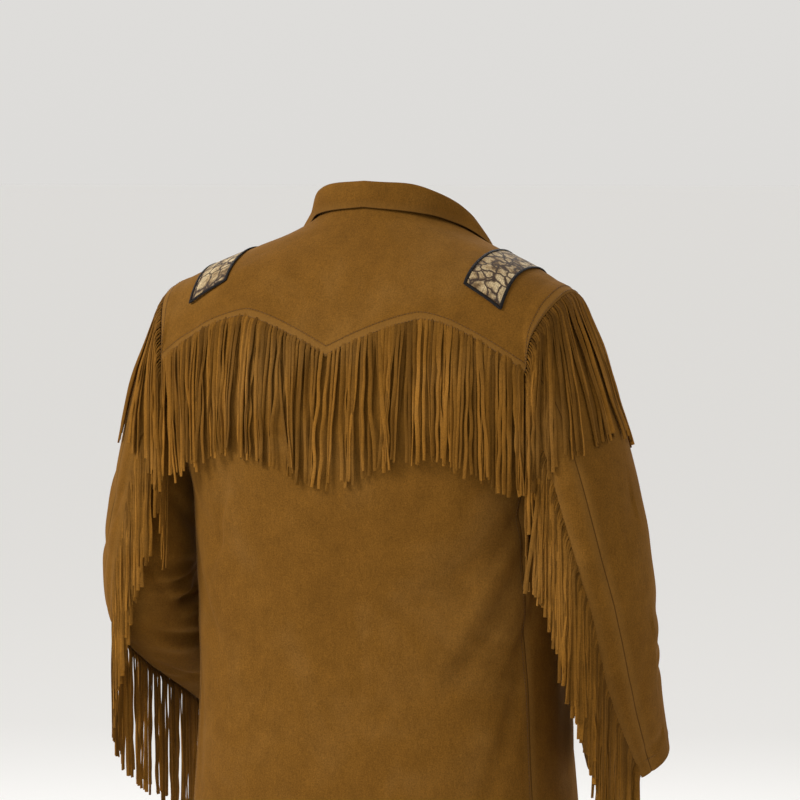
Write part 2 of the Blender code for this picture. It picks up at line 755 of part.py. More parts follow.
def make_sleeve_fringe(side):
    gap, face, half_strip, half_root = STRIP_GAP, STRIP_GAP + STRIP_THICKNESS, 0.0028, 0.0022
    strand_width = 0.0040
    count = SLEEVE_STRANDS
    share = SLEEVE_FRINGE_START + (SLEEVE_FRINGE_END - SLEEVE_FRINGE_START) * cells(count, 0.34)
    along = share * arm_length(side)
    turn = sleeve_seam(side, share, 1)
    reach = half_strip / SLEEVE_RADIUS
    stations = []
    for at, far in zip(turn, along):
        corners = []
        for shift, lift in ((-reach, gap), (-reach, face), (reach, face), (reach, gap)):
            spot = sleeve(side, at + shift, far) + sleeve_normal(side, at + shift, far) * lift
            corners.append(spot)
        stations.append(corners)
    cloud = sleeve_cloud(side)
    strands = []
    for index in range(count):
        low, high = stations[2 * index + 1], stations[2 * index + 2]
        root = (np.array(low[1]) + low[2] + high[1] + high[2]) / 4
        normal = sleeve_normal(side, turn[2 * index + 1], along[2 * index + 1])
        across = unit(np.array(low[2]) - np.array(low[1]))
        down = unit(np.array(high[1]) - np.array(low[1]))
        flat = unit(normal * np.array([1, 1, 0]))
        level = unit(across * np.array([1, 1, 0]))
        length = SLEEVE_FRINGE_LENGTH * (1 + 0.05 * uneven(index, 5))
        layer = 0.0034 + 0.0034 * (index % 2)
        grown = root + normal * half_root
        rings = []
        corners = []
        for wide, deep in ((-1, -1), (1, -1), (1, 1), (-1, 1)):
            corners.append(grown + (across * wide + down * deep) * half_root)
        rings.append(corners)
        for place in hang(root + flat * layer, cloud, length, (0.05, 0.36, 0.68, 1.0)):
            rings.append(strand_section(place, level, flat, strand_width))
        strands.append([[ring[0], ring[3], ring[2], ring[1]] for ring in rings])
    make_fringe(f"sleeve_fringe_{side}", stations, strands, "outer")


def shoulder_height(x, y):
    """The height of the shoulder's top over a place, found between neck and armhole."""
    low = np.full(np.broadcast(x, y).shape, -0.17)
    high = np.full(low.shape, 0.0)
    for _ in range(40):
        mid = (low + high) / 2
        half_width, behind, before, middle, square = read_table(BODY, mid)
        depth = np.where(y > middle, behind, before)
        inside = (np.abs(x) / half_width) ** square + (np.abs(y - middle) / depth) ** square < 1
        low, high = np.where(inside, mid, low), np.where(inside, high, mid)
    return (low + high) / 2


def patch_place(across, along):
    """A place on the patch that crosses the shoulder: across 0 to 1 outward, along 0 to 1 from back."""
    x = 0.170 + 0.048 * across - 0.008 * (1 - along)
    y = 0.078 + 0.004 * across - 0.124 * along
    z = shoulder_height(x, y)
    return np.stack(np.broadcast_arrays(x, y, z), -1)


def patch_normal(across, along, reach=0.02):
    side = patch_place(across + reach, along) - patch_place(across - reach, along)
    forward = patch_place(across, along + reach) - patch_place(across, along - reach)
    return unit(np.cross(forward, side))


def make_patch(side, sign):
    mirror = np.array([sign, 1, 1])
    across = np.linspace(PATCH_BORDER, 1 - PATCH_BORDER, 4)[None, :]
    along = np.linspace(PATCH_BORDER / 3, 1 - PATCH_BORDER / 3, 12)[:, None]
    across, along = np.broadcast_arrays(across, along)
    wall(f"patch_{side}", patch_place(across, along) * mirror,
         patch_normal(across, along) * mirror, "patch", PATCH_LIFT, PATCH_THICKNESS)


def make_patch_border(side, sign):
    """A narrow frame round the patch, as one closed ring of four-sided sections."""
    mirror = np.array([sign, 1, 1])
    long_edges = np.linspace(0, 1, 12)
    outline = [(0, share) for share in long_edges] + [(1, share) for share in long_edges[::-1]]
    trim = PATCH_BORDER
    points, faces = [], []
    for across, along in outline:
        inner_across = trim * 0.97 + across * (1 - 2 * trim * 0.97)
        inner_along = trim * 0.32 + along * (1 - 2 * trim * 0.32)
        for place in ((across, along), (inner_across, inner_along)):
            place = np.array(place, float)
            spot, normal = patch_place(*place), patch_normal(*place)
            points.append((spot + normal * 0.0024) * mirror)
            points.append((spot + normal * 0.0010) * mirror)
    count = len(outline)
    for index in range(count):
        here, there = index * 4, (index + 1) % count * 4
        for first, second in ((0, 1), (1, 3), (3, 2), (2, 0)):
            faces.append((here + first, here + second, there + second, there + first))
    mesh_from(f"patch_border_{side}", points, faces, "border")


def make_buttons():
    for number, height in enumerate(BUTTON_HEIGHTS, 1):
        spot = body(np.float64(math.pi), np.float64(height))
        normal = body_normal(np.float64(math.pi), np.float64(height))
        middle = spot + normal * (FRONT_LAP + BUTTON_SEAT + BUTTON_THICKNESS / 2)
        bpy.ops.mesh.primitive_cylinder_add(
            vertices=20, radius=BUTTON_RADIUS, depth=BUTTON_THICKNESS, location=middle)
        button = bpy.context.object
        pitch = math.atan2(normal[2], -normal[1])
        button.rotation_euler = (math.pi / 2 - pitch, 0, 0)
        button.name = f"button_{number}"
        button.data.name = button.name
        for collection in list(button.users_collection):
            collection.objects.unlink(button)
        bpy.data.collections["fringe_jacket"].objects.link(button)
        button.data.materials.append(bpy.data.materials.get("button") or new_material("button"))


def main():
    for old in list(bpy.data.objects):
        bpy.data.objects.remove(old, do_unlink=True)
    jacket = bpy.data.collections.new("fringe_jacket")
    bpy.context.scene.collection.children.link(jacket)
    make_back()
    make_yoke()
    make_collar()
    make_yoke_fringe()
    for side, sign in (("left", 1), ("right", -1)):
        make_side(side, sign)
        make_front(side, sign)
        make_sleeve(side)
        make_armhole_fringe(side)
        make_sleeve_fringe(side)
        make_patch(side, sign)
        make_patch_border(side, sign)
    make_buttons()


main()
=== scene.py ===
"""The looks of a worn suede fringe jacket: cloth as fine shells, cut fringe, stitching and patches."""

import math

import bpy
import numpy as np
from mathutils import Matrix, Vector
from mathutils.bvhtree import BVHTree


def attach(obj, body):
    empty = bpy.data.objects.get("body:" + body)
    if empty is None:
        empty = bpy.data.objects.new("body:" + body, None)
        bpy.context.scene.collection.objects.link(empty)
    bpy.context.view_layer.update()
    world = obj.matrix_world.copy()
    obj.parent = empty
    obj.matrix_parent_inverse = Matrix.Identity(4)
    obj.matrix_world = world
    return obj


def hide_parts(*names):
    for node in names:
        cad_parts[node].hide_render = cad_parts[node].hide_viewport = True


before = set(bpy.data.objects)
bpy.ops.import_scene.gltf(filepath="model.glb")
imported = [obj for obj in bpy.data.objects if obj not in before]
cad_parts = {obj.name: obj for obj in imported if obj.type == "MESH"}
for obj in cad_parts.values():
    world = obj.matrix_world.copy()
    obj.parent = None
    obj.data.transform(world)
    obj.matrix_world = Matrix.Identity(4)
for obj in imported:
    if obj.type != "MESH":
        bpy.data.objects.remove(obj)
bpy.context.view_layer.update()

# Ways: up, and what leaves out a way's upward part
UP = np.array([0, 0, 1.0])
LEVEL = np.array([1, 1, 0])

# Cloth and sewing sizes, in metres
CLOTH = 0.0016
HEM_HEIGHT = -0.80
SHOULDER_HEIGHT = -0.104
UNDERARM_HEIGHT = -0.335
ARMHOLE_NARROW_HEIGHT = -0.20
ARMHOLE_MIDDLE = (SHOULDER_HEIGHT + UNDERARM_HEIGHT) / 2
ARMHOLE_HALF = (SHOULDER_HEIGHT - UNDERARM_HEIGHT) / 2
SIDE_SEAM = math.radians(67)
FRONT_SEAM = math.radians(105)
FRONT_YOKE_HEIGHT = -0.145
FRONT_LAP = 0.0025
# Where the left front starts to rise over the right one, and is fully over it
LAP_START = math.radians(171)
LAP_LEVEL = math.radians(175)
# Where both fronts' lapped strips start and end, in degrees from the centre back
LAP_DEGREES = (171, 182)
ARMHOLE_EASE = 0.0017
BODY_RADIUS = 0.2
SLEEVE_RADIUS = 0.065
NECK_BACK = math.radians(42)
NECK_FRONT = math.radians(122)

# Grid rows above the underarm, columns over a shoulder and down to the front's lap
UPPER_ROWS = 26
SHOULDER_COLUMNS = 70
FRONT_COLUMNS = 40
# How wide an edge's roll into its seam is, and the angle from which an edge of a mesh is sharp
ROLL_WIDTH = 0.0022
SHARP_ANGLE = math.radians(55)
# The cloth's unevenness: how many waves, their least and most radians a metre, and their usual sum
WANDER_WAVES = 22
WANDER_TURNS = (45, 150)
WANDER_SUM = 3.2

# The yoke's lower edge: heights of its two peaks, centre point and ends, and places out from the centre
YOKE_PEAK = -0.136
YOKE_POINT = -0.179
YOKE_CORNER = -0.194
YOKE_PEAK_OUT = 0.120
YOKE_CORNER_OUT = 0.244
# Rounds that find where the yoke's edge lies on the body
YOKE_ROUNDS = 12

# Sewing
YOKE_LAP = 0.0030
TOPSTITCH_INSET = 0.0135
STITCH_PITCH = 0.0042
STITCH_LENGTH = 0.0031
STITCH_RADIUS = 0.00042
STITCH_CORNERS = 6
# A stitch's rings: place along it, share of its radius, rise off the cloth in radii
STITCH_PROFILE = (
    (-0.5, 0.35, -0.3),
    (-0.28, 0.95, 0.35),
    (0.0, 1.0, 0.6),
    (0.28, 0.95, 0.35),
    (0.5, 0.35, -0.3),
)

# Shoulder patches: their size over the shoulder, their inner edge's place out at the front end,
# their back edge's place back, and their lift off the yoke
PATCH_LENGTH = 0.137
PATCH_WIDTH = 0.048
PATCH_OUT = 0.170
PATCH_BACK = 0.078
PATCH_LIFT = 0.0026

# Buttons: heights on the front, and a profile of radius and rise
BUTTON_HEIGHTS = (-0.21, -0.34, -0.47, -0.60)
BUTTON_CORNERS = 48
BUTTON_PROFILE = (
    (0.0002, 0.0010),
    (0.0052, 0.0010),
    (0.0062, 0.0012),
    (0.0070, 0.0018),
    (0.0084, 0.0022),
    (0.0094, 0.0020),
    (0.0100, 0.0012),
    (0.0100, -0.0008),
    (0.0094, -0.0016),
    (0.0002, -0.0016),
)

# Fringe
YOKE_STRANDS = 128
YOKE_FRINGE_LENGTH = 0.172
YOKE_STRAND_WIDTH = 0.0051
ARMHOLE_STRANDS = 92
ARMHOLE_FRINGE_LENGTH = 0.185
ARMHOLE_STRAND_WIDTH = 0.0052
ARMHOLE_FRINGE_BACK = math.radians(118)
ARMHOLE_FRINGE_FRONT = math.radians(-60)
SLEEVE_STRANDS = 168
SLEEVE_FRINGE_LENGTH = 0.165
SLEEVE_STRAND_WIDTH = 0.0053
SLEEVE_FRINGE_START = 0.09
SLEEVE_FRINGE_END = 0.985
STRAND_THICKNESS = 0.0017
STRAND_CLEARANCE = (0.0016, 0.0052)
STRAY_SHARE = 0.06
# The share of a strand that starts out straight from its root
ROOT_SHARE = 0.12

# The camera, matched to the photo: the pixel that the neck base falls on, and metres a pixel
CAMERA_AZIMUTH = math.radians(205)
CAMERA_ELEVATION = math.radians(4)
CAMERA_DISTANCE = 4.0
IMAGE_SIDE = 800
NECK_PIXEL = (371, 205)
METRES_A_PIXEL = 0.00124

# The studio: lamps by name, place, size in metres and power in watts, all aimed at one point
LAMPS = (
    ("key", (2.7, 2.8, 2.3), 1.7, 196.0),
    ("fill", (-3.2, 1.8, 0.9), 2.8, 4.0),
    ("front", (1.2, -3.2, 1.8), 2.6, 60.0),
)
LAMP_TARGET = Vector((0, 0, -0.35))
HORIZON_COLOUR = (0.930, 0.916, 0.892)
ZENITH_COLOUR = (1.0, 0.985, 0.96)
FLOOR_COLOUR = (0.93, 0.925, 0.915, 1)
FLOOR_HEIGHT = -1.62

# The body's level sections: height, half width, depth behind, depth before, middle, squareness
BODY = (
    (-0.83, 0.261, 0.163, 0.173, -0.036, 2.20),
    (-0.70, 0.249, 0.154, 0.170, -0.035, 2.25),
    (-0.60, 0.244, 0.149, 0.168, -0.035, 2.30),
    (-0.50, 0.243, 0.146, 0.160, -0.030, 2.35),
    (-0.42, 0.241, 0.145, 0.150, -0.022, 2.40),
    (-0.335, 0.246, 0.143, 0.138, -0.012, 2.40),
    (-0.30, 0.256, 0.141, 0.132, -0.009, 2.40),
    (-0.25, 0.286, 0.138, 0.124, -0.005, 2.40),
    (-0.19, 0.314, 0.129, 0.112, -0.003, 2.40),
    (-0.15, 0.308, 0.119, 0.100, 0.000, 2.35),
    (-0.125, 0.292, 0.110, 0.089, 0.000, 2.30),
    (-0.104, 0.265, 0.103, 0.083, -0.001, 2.25),
    (-0.08, 0.224, 0.098, 0.082, -0.007, 2.20),
    (-0.06, 0.178, 0.090, 0.080, -0.016, 2.15),
    (-0.04, 0.132, 0.082, 0.068, -0.028, 2.10),
    (-0.02, 0.096, 0.077, 0.060, -0.044, 2.05),
    (0.005, 0.077, 0.071, 0.057, -0.056, 2.00),
    (0.03, 0.069, 0.068, 0.056, -0.060, 2.00),
)

# The armhole's reach as a share of the body's half width: height, share
ARMHOLE = (
    (-0.335, 1.000),
    (-0.30, 0.940),
    (-0.25, 0.850),
    (-0.19, 0.782),
    (-0.15, 0.812),
    (-0.125, 0.888),
    (-0.104, 1.000),
)

# The neck edge and the collar fall's edge, by angle from the centre back:
# angle, neck height, stand height, fall's edge height
NECK = (
    (0, 0.002, 0.026, -0.003),
    (45, -0.003, 0.026, -0.010),
    (67, -0.009, 0.022, -0.016),
    (90, -0.018, 0.018, -0.026),
    (110, -0.030, 0.016, -0.040),
    (130, -0.045, 0.015, -0.060),
    (160, -0.072, 0.014, -0.108),
    (190, -0.078, 0.012, -0.108),
)

# A sleeve's rings: distance along the arm, centre out, back and up, tilt of the outer side up,
# turn of the arm forward, half width across, half depth from front to back
UPPER_ARM = (
    (0.06, 0.2720, 0.003, -0.2585, 76, 0, 0.0930, 0.088),
    (0.15, 0.2910, 0.003, -0.3220, 45, 0, 0.0590, 0.086),
    (0.23, 0.3050, 0.003, -0.3990, 20, 2, 0.0575, 0.081),
)
FOREARMS = {
    "left": (
        (0.31, 0.3110, 0.004, -0.452, 6, 14, 0.0590, 0.078),
        (0.385, 0.3130, -0.008, -0.502, 0, 36, 0.0590, 0.077),
        (0.46, 0.3100, -0.058, -0.545, 0, 56, 0.0565, 0.068),
        (0.54, 0.3060, -0.126, -0.588, 0, 59, 0.0530, 0.061),
        (0.62, 0.3020, -0.192, -0.629, 0, 60, 0.0500, 0.056),
    ),
    "right": (
        (0.31, 0.3120, -0.002, -0.466, 6, 8, 0.0590, 0.076),
        (0.395, 0.3140, -0.022, -0.542, 0, 16, 0.0570, 0.069),
        (0.475, 0.3130, -0.053, -0.612, 0, 24, 0.0530, 0.062),
        (0.55, 0.3110, -0.086, -0.678, 0, 26, 0.0510, 0.058),
    ),
}

# Where the sleeve's seams lie round it: share of the length, outer seam, fringe seam
SLEEVE_SEAMS = {
    "left": (
        (0.00, 74, 108),
        (0.20, 66, 97),
        (0.40, 58, 87),
        (0.52, 50, 77),
        (0.66, 38, 63),
        (0.82, 36, 61),
        (1.00, 34, 59),
    ),
    "right": (
        (0.00, 72, 108),
        (0.30, 65, 101),
        (0.45, 60, 90),
        (0.60, 51, 79),
        (0.75, 45, 74),
        (0.90, 39, 62),
        (1.00, 33, 50),
    ),
}
FRONT_SLEEVE_SEAM = -82

# Folds of the body, the large ones of the solids first:
# angle, height, slant, half length, half width, depth inward
BODY_FOLDS = (
    (40, -0.42, 35, 0.110, 0.020, 0.0050),
    (30, -0.56, 24, 0.130, 0.022, 0.0035),
    (-44, -0.43, -40, 0.110, 0.020, 0.0050),
    (-30, -0.58, -18, 0.120, 0.024, 0.0035),
    (130, -0.40, -38, 0.100, 0.020, 0.0045),
    (-130, -0.42, 38, 0.100, 0.020, 0.0045),
    (150, -0.60, -12, 0.110, 0.022, 0.0035),
    (-52, -0.50, -55, 0.080, 0.012, 0.0058),
    (-42, -0.50, -57, 0.085, 0.012, -0.0034),
    (-58, -0.62, -70, 0.100, 0.012, 0.0050),
    (-60, -0.40, -50, 0.060, 0.010, 0.0045),
    (-66, -0.52, -60, 0.070, 0.009, 0.0040),
    (-20, -0.48, -30, 0.090, 0.016, 0.0016),
    (52, -0.50, 60, 0.080, 0.012, 0.0034),
    (38, -0.385, -68, 0.080, 0.0090, 0.0045),
    (33, -0.385, -68, 0.080, 0.0110, -0.0026),
    (14, -0.55, 80, 0.140, 0.024, -0.0022),
    (-4, -0.66, 84, 0.120, 0.022, 0.0016),
    (24, -0.70, 76, 0.100, 0.018, 0.0018),
    (60, -0.66, 82, 0.100, 0.014, 0.0028),
    (34, -0.105, 62, 0.040, 0.010, -0.0026),
    (40, -0.125, 58, 0.045, 0.010, 0.0024),
    (-36, -0.110, -60, 0.045, 0.012, 0.0018),
    (8, -0.060, 20, 0.060, 0.012, 0.0012),
    (170, -0.30, 78, 0.090, 0.020, 0.0024),
    (-165, -0.45, 82, 0.110, 0.018, 0.0026),
    (120, -0.58, 66, 0.100, 0.015, 0.0034),
    (-118, -0.60, -64, 0.100, 0.015, 0.0032),
    (95, -0.48, 84, 0.110, 0.014, 0.0032),
    (-95, -0.52, -84, 0.110, 0.014, 0.0032),
)

# Folds of each sleeve: angle round it, distance along it, slant, half length, half width, depth
SLEEVE_FOLDS = {
    "left": (
        (150, 0.30, 20, 0.060, 0.014, 0.0060),
        (190, 0.37, -18, 0.060, 0.014, 0.0070),
        (250, 0.38, 10, 0.065, 0.014, 0.0075),
        (230, 0.45, 24, 0.055, 0.013, 0.0060),
        (20, 0.27, 26, 0.060, 0.016, 0.0040),
        (140, 0.345, -8, 0.050, 0.008, 0.0046),
        (160, 0.325, 12, 0.055, 0.008, -0.0036),
        (205, 0.335, 8, 0.060, 0.009, 0.0050),
        (210, 0.410, -14, 0.055, 0.009, -0.0036),
        (270, 0.335, -20, 0.060, 0.010, 0.0050),
        (285, 0.425, 20, 0.060, 0.010, 0.0050),
        (50, 0.20, 40, 0.070, 0.012, 0.0026),
        (350, 0.33, -30, 0.060, 0.012, 0.0030),
        (60, 0.40, 28, 0.050, 0.010, 0.0026),
        (330, 0.55, 12, 0.045, 0.010, 0.0030),
        (200, 0.54, -12, 0.045, 0.010, 0.0032),
        (110, 0.50, 16, 0.045, 0.010, 0.0024),
        (170, 0.20, 50, 0.060, 0.012, 0.0040),
        (215, 0.16, -46, 0.060, 0.012, 0.0042),
        (177, 0.385, 39, 0.042, 0.0065, 0.0075),
        (172, 0.402, 39, 0.040, 0.0080, -0.0045),
        (182, 0.370, 39, 0.040, 0.0080, -0.0035),
        (141, 0.420, 50, 0.044, 0.0065, 0.0070),
        (134, 0.436, 50, 0.040, 0.0080, -0.0042),
        (150, 0.405, 50, 0.038, 0.0080, -0.0030),
        (158, 0.335, 22, 0.036, 0.0065, 0.0055),
        (156, 0.350, 22, 0.034, 0.0080, -0.0035),
        (168, 0.465, 30, 0.034, 0.0070, 0.0050),
        (128, 0.310, 64, 0.036, 0.0070, 0.0042),
        (104, 0.480, 66, 0.040, 0.0070, 0.0040),
        (75, 0.210, 114, 0.036, 0.0065, 0.0036),
        (66, 0.330, 100, 0.040, 0.0070, 0.0026),
    ),
    "right": (
        (230, 0.30, 18, 0.060, 0.014, 0.0055),
        (270, 0.36, -14, 0.060, 0.014, 0.0060),
        (320, 0.42, 16, 0.055, 0.014, 0.0045),
        (30, 0.34, -20, 0.055, 0.016, 0.0035),
        (55, 0.26, 62, 0.070, 0.012, 0.0022),
        (40, 0.45, 70, 0.070, 0.010, 0.0020),
        (70, 0.38, -40, 0.050, 0.010, 0.0020),
        (10, 0.22, 52, 0.070, 0.014, 0.0026),
        (350, 0.40, 30, 0.055, 0.012, 0.0032),
        (255, 0.335, 8, 0.060, 0.009, 0.0044),
        (285, 0.395, -10, 0.060, 0.009, 0.0046),
        (200, 0.36, 20, 0.055, 0.010, 0.0036),
        (20, 0.515, 10, 0.045, 0.009, 0.0026),
        (60, 0.525, -14, 0.040, 0.009, 0.0024),
        (170, 0.20, 50, 0.060, 0.012, 0.0040),
        (215, 0.16, -46, 0.060, 0.012, 0.0042),
    ),
}


def read_table(rows, at):
    """Smooth values between a table's rows, whose first column is the place."""
    rows = np.asarray(rows, float)
    place = rows[:, 0]
    at = np.clip(at, place[0], place[-1])
    row = np.clip(np.searchsorted(place, at, side="right") - 1, 0, len(place) - 2)
    slopes = np.gradient(rows[:, 1:], place, axis=0)
    step = (place[row + 1] - place[row])[..., None]
    t = (at - place[row])[..., None] / step
    start = (1 + 2 * t) * (1 - t) ** 2 * rows[row, 1:] + t * (1 - t) ** 2 * step * slopes[row]
    end = t * t * (3 - 2 * t) * rows[row + 1, 1:] - t * t * (1 - t) * step * slopes[row + 1]
    return np.moveaxis(start + end, -1, 0)


def soft_step(value, start, end):
    t = np.clip((value - start) / (end - start), 0, 1)
    return t * t * (3 - 2 * t)


def unit(vectors):
    return vectors / np.maximum(np.linalg.norm(vectors, axis=-1, keepdims=True), 1e-12)


def fold_depth(folds, across, along):
    """How far the folds draw the cloth in, at places in metres across and along it."""
    depth = np.zeros(np.broadcast(across, along).shape)
    for middle_across, middle_along, slant, half_length, half_width, deep in folds:
        turn = math.radians(slant)
        side, rise = across - middle_across, along - middle_along
        length = (side * math.cos(turn) + rise * math.sin(turn)) / half_length
        width = (rise * math.cos(turn) - side * math.sin(turn)) / half_width
        depth = depth + deep * np.exp(-(length ** 2) - width ** 2)
    return depth


def body(angle, height):
    """The body's outer form: angle from the centre back, positive to the wearer's left."""
    angle, height = np.broadcast_arrays(np.asarray(angle, float), np.asarray(height, float))
    half_width, behind, before, middle, square = read_table(BODY, height)
    sine, cosine = np.sin(angle), np.cos(angle)
    depth = np.where(cosine > 0, behind, before)
    folds = [(math.radians(row[0]) * BODY_RADIUS, *row[1:]) for row in BODY_FOLDS]
    around = (angle + math.pi) % (2 * math.pi) - math.pi
    shrink = 1 - fold_depth(folds, around * BODY_RADIUS, height) / BODY_RADIUS
    x = half_width * np.sign(sine) * np.abs(sine) ** (2 / square) * shrink
    y = depth * np.sign(cosine) * np.abs(cosine) ** (2 / square) * shrink
    return np.stack([x, middle + y, height], -1)


def body_normal(angle, height, reach=0.004):
    around = body(angle + reach, height) - body(angle - reach, height)
    up = body(angle, height + reach) - body(angle, height - reach)
    return unit(np.cross(up, around))


def armhole_angle(height):
    """The angle from the centre back at which the armhole's back edge crosses a height."""
    share = np.clip(read_table(ARMHOLE, height)[0], 0, 1)
    square = read_table(BODY, height)[4]
    return np.arcsin(share ** (square / 2))


def armhole_point(turn):
    """The armhole at a turn from its top, 0, through its back, a quarter, to the underarm, a half."""
    height = ARMHOLE_MIDDLE + ARMHOLE_HALF * np.cos(turn)
    back = armhole_angle(height)
    angle = np.where(np.sin(turn) >= 0, back, math.pi - back)
    return angle, height


def armhole_turn(height):
    return math.acos((height - ARMHOLE_MIDDLE) / ARMHOLE_HALF)


def bisect(inside, low, high):
    """The border between the places where a test holds, the low ones, and those where it fails."""
    for _ in range(40):
        middle = (low + high) / 2
        held = inside(middle)
        low, high = np.where(held, middle, low), np.where(held, high, middle)
    return (low + high) / 2


def armhole_floor(angle):
    """The armhole's height over a side angle, near the underarm."""
    from_back = np.minimum(angle, math.pi - angle)
    low, high = (np.full(np.shape(angle), height) for height in (UNDERARM_HEIGHT, ARMHOLE_NARROW_HEIGHT))
    return bisect(lambda height: armhole_angle(height) >= from_back, low, high)


def yoke_edge(x):
    """The height of the yoke's lower edge: a point at the centre back and a peak on each side."""
    x = np.abs(x)
    inward = np.clip(1 - x / YOKE_PEAK_OUT, 0, 1)
    outward = np.clip((x - YOKE_PEAK_OUT) / (YOKE_CORNER_OUT - YOKE_PEAK_OUT), 0, 2)
    inner = YOKE_PEAK - (YOKE_PEAK - YOKE_POINT) * inward ** 1.35
    outer = YOKE_PEAK - (YOKE_PEAK - YOKE_CORNER) * outward ** 1.6
    return np.where(x < YOKE_PEAK_OUT, inner, outer)


def yoke_end():
    """The height at which the yoke's edge meets the armhole."""
    height = -0.19
    for _ in range(YOKE_ROUNDS):
        x = body(armhole_angle(np.float64(height)), height)[0]
        height = float(yoke_edge(x))
    return height


YOKE_END = yoke_end()


def yoke_place(share):
    """The angle and height on the yoke's edge, from -1 at the right armhole to 1 at the left."""
    share = np.asarray(share, float)
    height = np.full(share.shape, -0.17)
    angle = share * armhole_angle(np.full(share.shape, YOKE_END))
    for _ in range(YOKE_ROUNDS):
        height = yoke_edge(body(angle, height)[..., 0])
    return angle, height


def arm_rows(side):
    return UPPER_ARM + FOREARMS[side]


def arm_length(side):
    return arm_rows(side)[-1][0]


def sleeve_middle(side, along):
    rows = [(-0.05, 0.25, 0.0, -0.2195), (0.0, 0.2550, 0.004, -0.2195)]
    rows += [row[:4] for row in arm_rows(side)]
    return np.moveaxis(read_table(rows, along), 0, -1)


def sleeve(side, turn, along):
    """A sleeve's outer form: turn round it from the outer side to the back, distance along it."""
    turn, along = np.broadcast_arrays(np.asarray(turn, float), np.asarray(along, float))
    angle, height = armhole_point(turn)
    first = body(angle, height)
    first[..., 0] += ARMHOLE_EASE
    rings, places = [first], [0.0]
    for place, out, back, up, tilt, pitch, half_width, half_depth in arm_rows(side):
        tilt, pitch = math.radians(tilt), math.radians(pitch)
        outward = np.array([math.cos(tilt), 0, math.sin(tilt)])
        backward = np.array([0, math.cos(pitch), -math.sin(pitch)])
        across = np.cos(turn)[..., None] * outward * half_width
        deep = np.sin(turn)[..., None] * backward * half_depth
        rings.append(np.array([out, back, up]) + across + deep)
        places.append(place)
    rings, places = np.array(rings), np.array(places)
    slopes = np.gradient(rings, places, axis=0)
    row = np.clip(np.searchsorted(places, along, side="right") - 1, 0, len(places) - 2)
    step = (places[row + 1] - places[row])[..., None]
    t = (along - places[row])[..., None] / step

    def pick(values, at):
        return np.take_along_axis(values, at[None, ..., None], 0)[0]

    start = (1 + 2 * t) * (1 - t) ** 2 * pick(rings, row)
    start = start + t * (1 - t) ** 2 * step * pick(slopes, row)
    end = t * t * (3 - 2 * t) * pick(rings, row + 1)
    point = start + end - t * t * (1 - t) * step * pick(slopes, row + 1)
    middle = sleeve_middle(side, along)
    folds = [(math.radians(fold[0]) * SLEEVE_RADIUS, *fold[1:]) for fold in SLEEVE_FOLDS[side]]
    around = (turn % (2 * math.pi)) * SLEEVE_RADIUS
    depth = fold_depth(folds, around, along)[..., None]
    point = point - unit(point - middle) * depth
    if side == "right":
        point = point * np.array([-1, 1, 1])
    return point


def sleeve_normal(side, turn, along, reach=0.004):
    length = arm_length(side)
    around = sleeve(side, turn + reach * 10, along) - sleeve(side, turn - reach * 10, along)
    ahead, behind = np.minimum(along + reach, length), np.maximum(along - reach, 0)
    forward = sleeve(side, turn, ahead) - sleeve(side, turn, behind)
    normal = unit(np.cross(forward, around))
    return normal if side == "left" else -normal


def sleeve_seam(side, share, column):
    return np.radians(read_table(SLEEVE_SEAMS[side], share)[column])


# Materials
def node(tree, kind, inputs=None, **settings):
    made = tree.nodes.new(kind)
    for key, value in settings.items():
        setattr(made, key, value)
    for key, value in (inputs or {}).items():
        if isinstance(value, bpy.types.NodeSocket):
            tree.links.new(value, made.inputs[key])
        else:
            made.inputs[key].default_value = value
    return made


def start_material(name, roughness):
    material = bpy.data.materials.new(name)
    material.use_nodes = True
    tree = material.node_tree
    shader = tree.nodes["Principled BSDF"]
    shader.inputs["Roughness"].default_value = roughness
    return material, tree, shader


def noise(tree, vector, scale, detail=3.0, roughness=0.5, distortion=0.0, output="Fac"):
    made = node(tree, "ShaderNodeTexNoise", {"Vector": vector, "Scale": scale, "Detail": detail,
                                             "Roughness": roughness, "Distortion": distortion})
    return made.outputs[output]


def ramp(tree, value, stops):
    made = node(tree, "ShaderNodeValToRGB", {"Fac": value})
    made.color_ramp.elements[0].position = stops[0][0]
    made.color_ramp.elements[0].color = (*stops[0][1], 1)
    made.color_ramp.elements[1].position = stops[-1][0]
    made.color_ramp.elements[1].color = (*stops[-1][1], 1)
    for place, colour in stops[1:-1]:
        made.color_ramp.elements.new(place).color = (*colour, 1)
    return made.outputs["Color"]


def mix(tree, factor, first, second, blend="MIX"):
    made = node(tree, "ShaderNodeMix", data_type="RGBA", blend_type=blend)
    for key, value in ((0, factor), (6, first), (7, second)):
        if isinstance(value, bpy.types.NodeSocket):
            tree.links.new(value, made.inputs[key])
        else:
            made.inputs[key].default_value = value if key == 0 else (*value, 1)
    return made.outputs[2]


def spread(tree, value, low, high, to_low=0.0, to_high=1.0):
    made = node(tree, "ShaderNodeMapRange", {0: value, 1: low, 2: high, 3: to_low, 4: to_high})
    return made.outputs[0]


def attribute(tree, name):
    return node(tree, "ShaderNodeAttribute", attribute_name=name).outputs["Fac"]


SUEDE_DARK = (0.094, 0.0385, 0.0048)
SUEDE_MIDDLE = (0.129, 0.0555, 0.0074)
SUEDE_LIGHT = (0.182, 0.089, 0.0205)
# Painted shade, laid into the seams and the topstitched groove
SEAM_SHADE = (0.022, 0.0080, 0.0016)


def object_place(tree, scale=None):
    """Places in the object's own frame, drawn out by a scale where one is given."""
    where = node(tree, "ShaderNodeTexCoord").outputs["Object"]
    if scale is None:
        return where
    return node(tree, "ShaderNodeMapping", {"Vector": where, "Scale": scale}).outputs["Vector"]


def calculate(tree, operation, *values):
    return node(tree, "ShaderNodeMath", dict(enumerate(values)), operation=operation).outputs[0]


